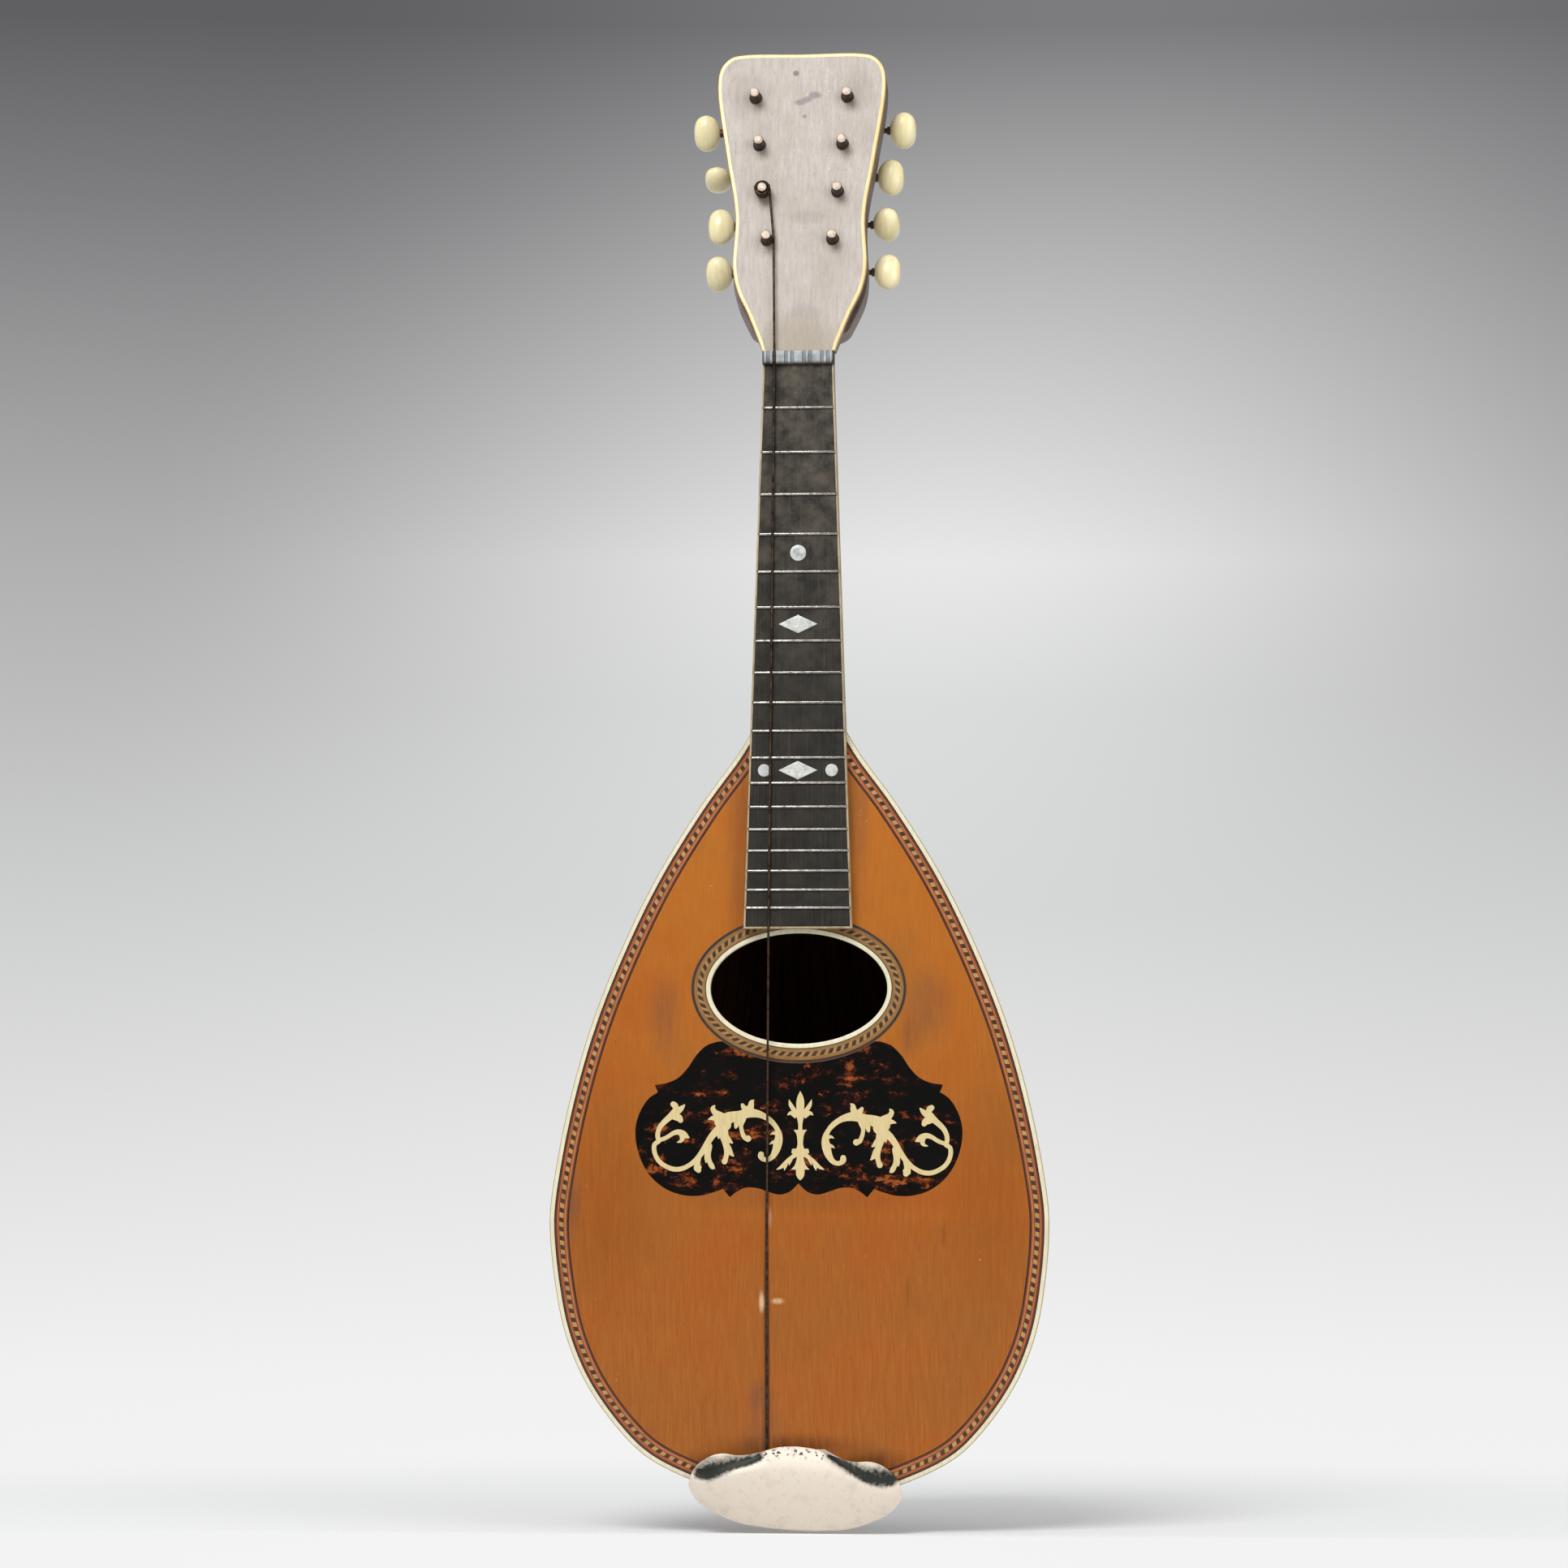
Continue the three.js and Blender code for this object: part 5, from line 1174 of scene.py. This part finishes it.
# A turned post with the hole for its string; its top is marked for a pale colour that is wear and a painted
# highlight
def postMesh():
    hole = bmesh.new()
    bmesh.ops.create_cone(hole, cap_ends=True, segments=14, radius1=0.5, radius2=0.5, depth=6,
                          matrix=shift((0, 0, 4.6)) @ rotation(90, "Y"))
    bm = combine(turned(machine["post"], 28), [hole], "DIFFERENCE")
    mark = bm.verts.layers.float.new("worn")
    for vert in bm.verts:
        vert[mark] = 1 if vert.co.z > machine["wornAndLitAbove"] else 0
    return bm


# A gear hollowed for its worm: (depth, how far its teeth are drawn in)
def gearMesh():
    count = machine["teeth"] * 10
    rings = []
    for depth, shrink in ((-machine["gearHalf"], 0.25), (-1.4, 0), (-0.7, 0.12), (0, 0.18), (0.7, 0.12), (1.4, 0),
                          (machine["gearHalf"], 0.25)):
        ring = []
        for turn in [2 * math.pi * k / count for k in range(count)]:
            wave = math.cos(machine["teeth"] * (turn + math.pi / 2))
            radius = machine["gearRadius"] - shrink - machine["tooth"] * math.copysign(abs(wave) ** 0.7, wave)
            ring.append((radius * math.cos(turn), machine["keyDepth"] + depth, radius * math.sin(turn)))
        rings.append(ring)
    return sweep(rings)


# A slotted screw with a low domed head, standing up from z = 0
def screwMesh(radius, height, slot):
    dome = [(radius * r, height * h) for r, h in ((0, 1), (0.4, 0.96), (0.75, 0.72), (0.95, 0.4))]
    cut = bmesh.new()
    bmesh.ops.create_cube(cut, size=1, matrix=shift((0, 0, height)) @ Matrix.Diagonal(
        (slot, radius * 3, height * 0.9, 1)))
    return combine(turned(dome + [(radius, 0.1), (radius, -0.3), (0, -0.3)], 28), [cut], "DIFFERENCE")


def wormMesh():
    rings = []
    for along in [(i / 48 * 2 - 1) * lead for i in range(49)]:
        fade = min(1, (lead - abs(along)) / 0.35)
        phase = math.pi / 2 + 2 * math.pi * along / lead
        ring = []
        for turn in [2 * math.pi * k / 28 for k in range(28)]:
            crest = (0.5 + 0.5 * math.cos(turn - phase)) ** 1.3
            radius = 1.35 + fade * (0.2 + 0.95 * crest)
            ring.append((along, radius * math.cos(turn), radius * math.sin(turn)))
        rings.append(ring)
    return sweep(rings)


onePost, oneGear, oneWorm = postMesh(), gearMesh(), wormMesh()
gearScrew, plateScrew = screwMesh(1.75, 0.9, 0.45), screwMesh(1.5, 0.8, 0.4)
oneButton = turned([(max(0, r) * machine["buttonWidth"] / 2, along * machine["buttonLength"])
                    for r, along in smoothPoints(machine["button"], 4)], 56)
ear = machine["earOuter"]
shaftEnd = ear + machine["shaftTail"]
for side, word in sides:
    plateName = "tuner_plate_" + word
    makePiece(plateName + "_brass", softened(plateName, 0.0002), brass, plateName, 40, metres=True)
    screws = []
    for row, (x, s) in enumerate(posts):
        for far, down, turn in machine["screws"][row]:
            screwPlace = shift((side * (x + far), machine["plateBack"], s - down)) @ toBack @ rotation(turn, "Z")
            screws.append(placed(plateScrew, screwPlace))
    makePiece(plateName + "_screws", joinMeshes(screws), nickelSilver, place=headPlace)
    for row, (x, s) in enumerate(posts):
        post, key = f"post_{word}_{row + 1}", f"key_{word}_{row + 1}"
        spot = shift((side * x, 0, s))
        makePiece(post + "_steel", placed(onePost, spot @ outOfFace), darkSteel, post, 35, headPlace, post)
        makePiece(post + "_gear", placed(oneGear, spot), brass, None, 35, headPlace, post)
        gearBack = shift((side * x, machine["keyDepth"] + machine["gearHalf"], s)) @ toBack
        makePiece(post + "_screw", placed(gearScrew, gearBack), nickelSilver, None, 30, headPlace, post)
        keyS = s - machine["keyDrop"]
        start = machine["buttonStarts"][row]
        # the shaft from its tail to inside the button: (along, radius)
        radii = [(-shaftEnd, 0.9), (-shaftEnd + 0.2, 1.1), (-lead + 0.1, 1.1), (lead - 0.1, 1.1),
                 (ear + 0.25, 1.15), (ear + 0.3, 1.75), (ear + 1.1, 1.75), (ear + 1.3, 1.2), (start - 1.1, 1.05),
                 (start - 0.9, 1.6), (start + 0.1, 1.7), (start + 0.4, 1.1),
                 (start + machine["buttonLength"] * 0.6, 1.1)]
        rod = sweep([[(side * along, y, z) for y, z in oval(r, r, 0, 0, 24)] for along, r in radii])
        spot = shift((side * x, machine["keyDepth"], keyS))
        metal = joinMeshes([placed(rod, spot), placed(oneWorm, spot)])
        rod.free()
        makePiece(key + "_worm", metal, rustedSteel, None, 35, headPlace, key)
        button = (shift((side * (x + start), machine["keyDepth"], keyS))
                  @ rotation(machine["turns"][side][row], "X") @ rotation(side * 90, "Y")
                  @ Matrix.Diagonal((1, machine["buttonThickness"] / machine["buttonWidth"], 1, 1)))
        makePiece(key + "_button", placed(oneButton, button), buttonIvoroid, key, 60, headPlace, key)
for part in (onePost, oneGear, oneWorm, gearScrew, plateScrew, oneButton):
    part.free()
print("tuning machines made")


# Tailpiece: a bent plate with hooks, and its cover of pressed sheet, pushed askew
tailPlate = softened("tailpiece_base", 0.00025)
for place, way in (((0.009, 0, 0.0212), (5, 0, 9)), ((-0.010, 0, 0.0212), (-2.9, 0, 8))):
    cutAlong(tailPlate, place, way, clear=True)
makePiece("tailpiece_plate", tailPlate, silverPlate, "tailpiece_base", 40, metres=True)
cover = {
    "width": 82.7,
    "height": 32.4,
    "drop": 10.2,
    "stand": 8.6,
    "curl": 4,
    "tilt": 2.9,
    "aside": -2.2,
    "sheet": 0.8,
    "crown": 0.52,
    "spread": 0.6,
    "rows": 40,
    # out from the middle, lower and upper edge, as shares of half its width and its height
    "shape": [(0, 0, 1), (0.17, 0.004, 0.98), (0.32, 0.018, 0.92), (0.44, 0.036, 0.876), (0.56, 0.07, 0.858),
              (0.68, 0.127, 0.87), (0.78, 0.185, 0.843), (0.89, 0.27, 0.756), (0.96, 0.37, 0.654),
              (1, 0.47, 0.49)],
    # dark hollows from each ear towards the middle, with tarnish and a painted dark reflection in them, and the
    # spotted place between them: (x, z, reach)
    "hollows": [
        [(-38.8, 12.2, 2.6), (-35.5, 12.7, 3.9), (-30.9, 14.0, 3.3), (-26.3, 15.4, 2.6), (-20.8, 16.6, 2.2),
         (-16.2, 18.2, 2.0)],
        [(11.9, 19.0, 1.6), (16.0, 16.6, 2.2), (20.6, 13.9, 2.4), (25.2, 11.6, 2.9), (29.8, 10.7, 3.7),
         (34.4, 10.3, 3.3), (36.7, 10.3, 1.8)],
    ],
    "spots": [(-14, 18.8, 1.8), (-6, 20.2, 1.6), (2, 19.6, 1.6), (9, 18.4, 1.8)],
    "depth": 1.3,
}


# How near a point is to a line of (x, z, reach): 1 on it, falling off by one power below it and another above
def nearLine(point, line, below, above):
    best = 0
    for (ax, az, ar), (bx, bz, br) in zip(line, line[1:]):
        span = Vector((bx - ax, bz - az))
        share = max(0, min(1, Vector((point.x - ax, point.z - az)).dot(span) / span.length_squared))
        reach = ar + (br - ar) * share
        far = math.hypot(point.x - ax - span.x * share, point.z - az - span.y * share) / reach
        best = max(best, math.exp(-far ** (above if point.z > az + span.y * share else below)))
    return best


hollows = [smoothPoints(line, 4) for line in cover["hollows"]]
coverTurn = shift((cover["aside"], 0, 0)) @ rotation(cover["tilt"], "Y")
half = smoothPoints(cover["shape"], 6)
columns = mirrored(half[1:]) + half


def coverPoint(i, k, sink):
    out, low, high = columns[i]
    z = (low + (high - low) * k / cover["rows"]) * cover["height"] - cover["drop"]
    share = (z + cover["drop"]) / cover["height"]
    rise = cover["stand"] * (1 - ((share - cover["crown"]) / cover["spread"]) ** 2)
    point = coverTurn @ Vector((out * cover["width"] / 2, cant(z) - rise + cover["curl"] * out ** 4 + sink, z))
    point.y += cover["depth"] * max(nearLine(point, line, 2, 4) for line in hollows)
    return point


upwards = range(cover["rows"] + 1)
coverMesh = sweep([[coverPoint(i, k, 0) for k in upwards]
                   + [coverPoint(i, k, cover["sheet"]) for k in reversed(upwards)] for i in range(len(columns))])
roundCorners(coverMesh, 0.2, 2, 1)
# The hollows' mark paints them dark: tarnish together with a painted reflection of the dark surroundings
tarnish, specks = [coverMesh.verts.layers.float.new(name) for name in ("tarnish", "specks")]
for vert in coverMesh.verts:
    vert[tarnish] = max(nearLine(vert.co, line, 5, 1.8) for line in hollows)
    vert[specks] = nearLine(vert.co, cover["spots"], 3, 3)
makePiece("tailpiece_sheet", coverMesh, silverPlate, "tailpiece_cover", 50, body="tailpiece_cover")
print("tailpiece made")


# String: wound on its post, over the nut and the frets, down the soundboard to its hook
string = {
    "radius": 0.475,
    "turns": 3,
    "rise": 1.4,
    "clear": 0.1,
    "coilFoot": -1.8,
    "nutX": -9.3,
    "tailX": -13.0,
    "nutLift": 6.5,
    "fretLift": 6.4,
    "hookLift": 1.1,
    "layZ": 25.2,
    "plateZ": 21,
    "hookZ": 14.8,
}
(passedX, passedS), (postX, postS) = posts[:2]
wire = string["radius"]
coil = machine["radius"] + body["seam"] + wire
foot = string["coilFoot"] - wire


def headPoint(x, depth, s):
    return headPlace @ Vector((x * mm, depth * mm, s * mm)) / mm


def stringAt(z, lift):
    share = (z - string["hookZ"]) / (nutFront - string["hookZ"])
    x = string["tailX"] + (string["nutX"] - string["tailX"]) * share
    return Vector((x, cant(z) - lift - wire, z))


route = [headPoint(coil - postX, foot - string["turns"] * string["rise"], postS + 2 * wire)]
for i in range(string["turns"] * 24 + 1):
    left = string["turns"] - i / 24
    turn = 2 * math.pi * left
    route.append(headPoint(coil * math.cos(turn) - postX, foot - left * string["rise"],
                           postS + coil * math.sin(turn)))
route += [headPoint(coil - postX, foot, postS - 2 * wire), headPoint(coil - passedX, foot, passedS)]
# down from the nut: height, lift over the soundboard's plane, points in the stretch that ends there
knots = [(nutFront, string["nutLift"], 1), (fretZ(18), string["fretLift"], 12), (cantHeight, 0, 8),
         (string["layZ"], 0, 6)]
route += [stringAt(z, string["nutLift"] + string["clear"]) for z in (nutBack, nutFront)]
for (fromZ, fromLift, _), (toZ, toLift, count) in zip(knots, knots[1:]):
    for share in [k / count for k in range(1, count + 1)]:
        lift = fromLift + string["clear"] + (toLift - fromLift) * share
        route.append(stringAt(fromZ + (toZ - fromZ) * share, lift))
route += [stringAt(string[name], string["hookLift"]) for name in ("plateZ", "hookZ")]

# A round bar along the route, its section carried along without twisting
side = Vector((0, 1, 0))
rings = []
for i, point in enumerate(route):
    way = (route[min(len(route) - 1, i + 1)] - route[max(0, i - 1)]).normalized()
    side = (side - way * side.dot(way)).normalized()
    other = way.cross(side)
    rings.append([point + (side * x + other * y) * wire for x, y in oval(1, 1, 0, 0, 12)])
makePiece("wound_string", sweep(rings), woundBronze, "string", 50)
print("string made")


# Floor and light: a pale sweep that fades into a soft grey background, lit from the upper left front
stage = {
    "floorZ": -0.0115,
    "radius": 2.2,
    "frontEdge": (0.02, -0.004),  # where the floor fades out in front, so that the cover can come down
    "farEdge": (0.15, 0.7),
    "floor": "f1f2f3",
    "floorGlow": 0.17,  # lifts the floor towards white for the camera alone
    "ambient": 0.38,
    "front": 0.12,  # how bright mirror images of the side behind the camera are
    "lamps": {"key": {"place": (-0.5, -1.6, 1.6), "size": 1.1, "energy": 33},
              "fill": {"place": (1.5, -1.5, 0.6), "size": 1.6, "energy": 14}},
    "aim": (0, 0, 0.25),
    # sine of the elevation, grey of the background in the middle and at the sides, from below the floor upwards
    "greys": [(-0.1, "f6f7f6", "f4f5f4"), (-0.03, "f1f2f1", "f0f1f0"), (0.02, "e4e5e4", "dedfde"),
              (0.06, "d7d8d8", "cecfcf"), (0.1, "dbdcdc", "bcbcbc"), (0.127, "e8e8e8", "b0b0b0"),
              (0.15, "d4d4d5", "a2a2a3"), (0.195, "a9a9aa", "7e7e80"), (0.228, "7c7c7e", "606062")],
    "spread": 0.16,
    "drift": (0.03, 0.228, 0.06),  # from and to which height their middle moves aside, and how far
    "turn": 0.3,  # how far into the scene the mirror images brighten
}
floor = bmesh.new()
bmesh.ops.create_circle(floor, cap_ends=True, radius=stage["radius"], segments=96,
                        matrix=shift((0, 0, stage["floorZ"])))
floorMesh = bpy.data.meshes.new("floor")
floor.to_mesh(floorMesh)
floor.free()
addObject("floor", floorMesh)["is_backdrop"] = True

material, tree, place = newTree("matt painted sweep")
far = addNode(tree, "VectorMath", [place["Object"]], operation="LENGTH")["Value"]
apart = addNode(tree, "SeparateXYZ", {"Vector": place["Object"]})
fade, front = [addNode(tree, "MapRange", {"Value": value, "From Min": stage[edge][0], "From Max": stage[edge][1]},
                       interpolation_type="SMOOTHSTEP")
               for value, edge in ((far, "farEdge"), (apart["Y"], "frontEdge"))]
path = addNode(tree, "LightPath")  # the front still throws light back onto the instrument
passing = addNode(tree, "Math", [path["Is Camera Ray"], path["Is Shadow Ray"]], operation="MAXIMUM")
front = addNode(tree, "Math", [front, passing], operation="MULTIPLY")
fade = addNode(tree, "Math", [fade, front], operation="MAXIMUM")
clear = addNode(tree, "BsdfTransparent")
paint = addNode(tree, "BsdfPrincipled", {"Base Color": stage["floor"], "Roughness": 0.8,
                                         "Specular IOR Level": 0.2})
lift = addNode(tree, "Math", [path["Is Camera Ray"], stage["floorGlow"]], operation="MULTIPLY")
glow = addNode(tree, "Emission", {"Color": "ffffff", "Strength": lift})
painted = addNode(tree, "AddShader", [paint, glow])
mixed = addNode(tree, "MixShader", [fade, painted, clear])
addNode(tree, "OutputMaterial", {"Surface": mixed})
floorMesh.materials.append(material)

world = bpy.data.worlds.new("studio")
bpy.context.scene.world = world
world.use_nodes = True
tree = world.node_tree
tree.nodes.clear()
way = addNode(tree, "TexCoord")["Generated"]
apart = addNode(tree, "SeparateXYZ", {"Vector": way})
yaw = math.radians(view["yaw"])
aside = addNode(tree, "VectorMath", [way, (math.cos(yaw), math.sin(yaw), 0)], operation="DOT_PRODUCT")
start, end, drift = stage["drift"]
middle = addNode(tree, "MapRange", {"Value": apart["Z"], "From Min": start, "From Max": end, "To Max": drift},
                 clamp=False)
off = addNode(tree, "Math", [aside["Value"], middle], operation="SUBTRACT")
off = addNode(tree, "Math", [off], operation="ABSOLUTE")
toSide = addNode(tree, "MapRange", {"Value": off, "From Max": stage["spread"]}, interpolation_type="SMOOTHSTEP")
low, high = stage["greys"][0][0], stage["greys"][-1][0]
height = addNode(tree, "MapRange", {"Value": apart["Z"], "From Min": low, "From Max": high})
ramps = [addNode(tree, "ValToRGB", {"Fac": height}, stops=[((grey[0] - low) / (high - low), grey[part])
                                                           for grey in stage["greys"]]) for part in (1, 2)]
shade = addNode(tree, "MixRGB", {"Fac": toSide, "Color1": ramps[0], "Color2": ramps[1]})
path = addNode(tree, "LightPath")
dim = addNode(tree, "MapRange", {"Value": apart["Y"], "From Min": -stage["turn"], "From Max": stage["turn"],
                                 "To Min": stage["front"] - 1, "To Max": 0})
strength = addNode(tree, "Math", [dim, path["Is Glossy Ray"], 1.0], operation="MULTIPLY_ADD")
seen = addNode(tree, "Background", {"Color": shade, "Strength": strength})
lit = addNode(tree, "Background", {"Color": "ffffff", "Strength": stage["ambient"]})
direct = path["Is Camera Ray"]
for kind in ("Is Glossy Ray", "Is Transmission Ray"):
    direct = addNode(tree, "Math", [direct, path[kind]], operation="MAXIMUM")
mixed = addNode(tree, "MixShader", [direct, lit, seen])
addNode(tree, "OutputWorld", {"Surface": mixed})
for name, lampSettings in stage["lamps"].items():
    lamp = bpy.data.lights.new(name, "AREA")
    lamp.shape = "DISK"
    lamp.size, lamp.energy = lampSettings["size"], lampSettings["energy"]
    place = Vector(lampSettings["place"])
    aim = (Vector(stage["aim"]) - place).to_track_quat("-Z", "Y")
    addObject(name, lamp).matrix_world = shift(place) @ aim.to_matrix().to_4x4()
bpy.context.scene.view_settings.view_transform = "Standard"
print("stage made")

low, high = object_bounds()
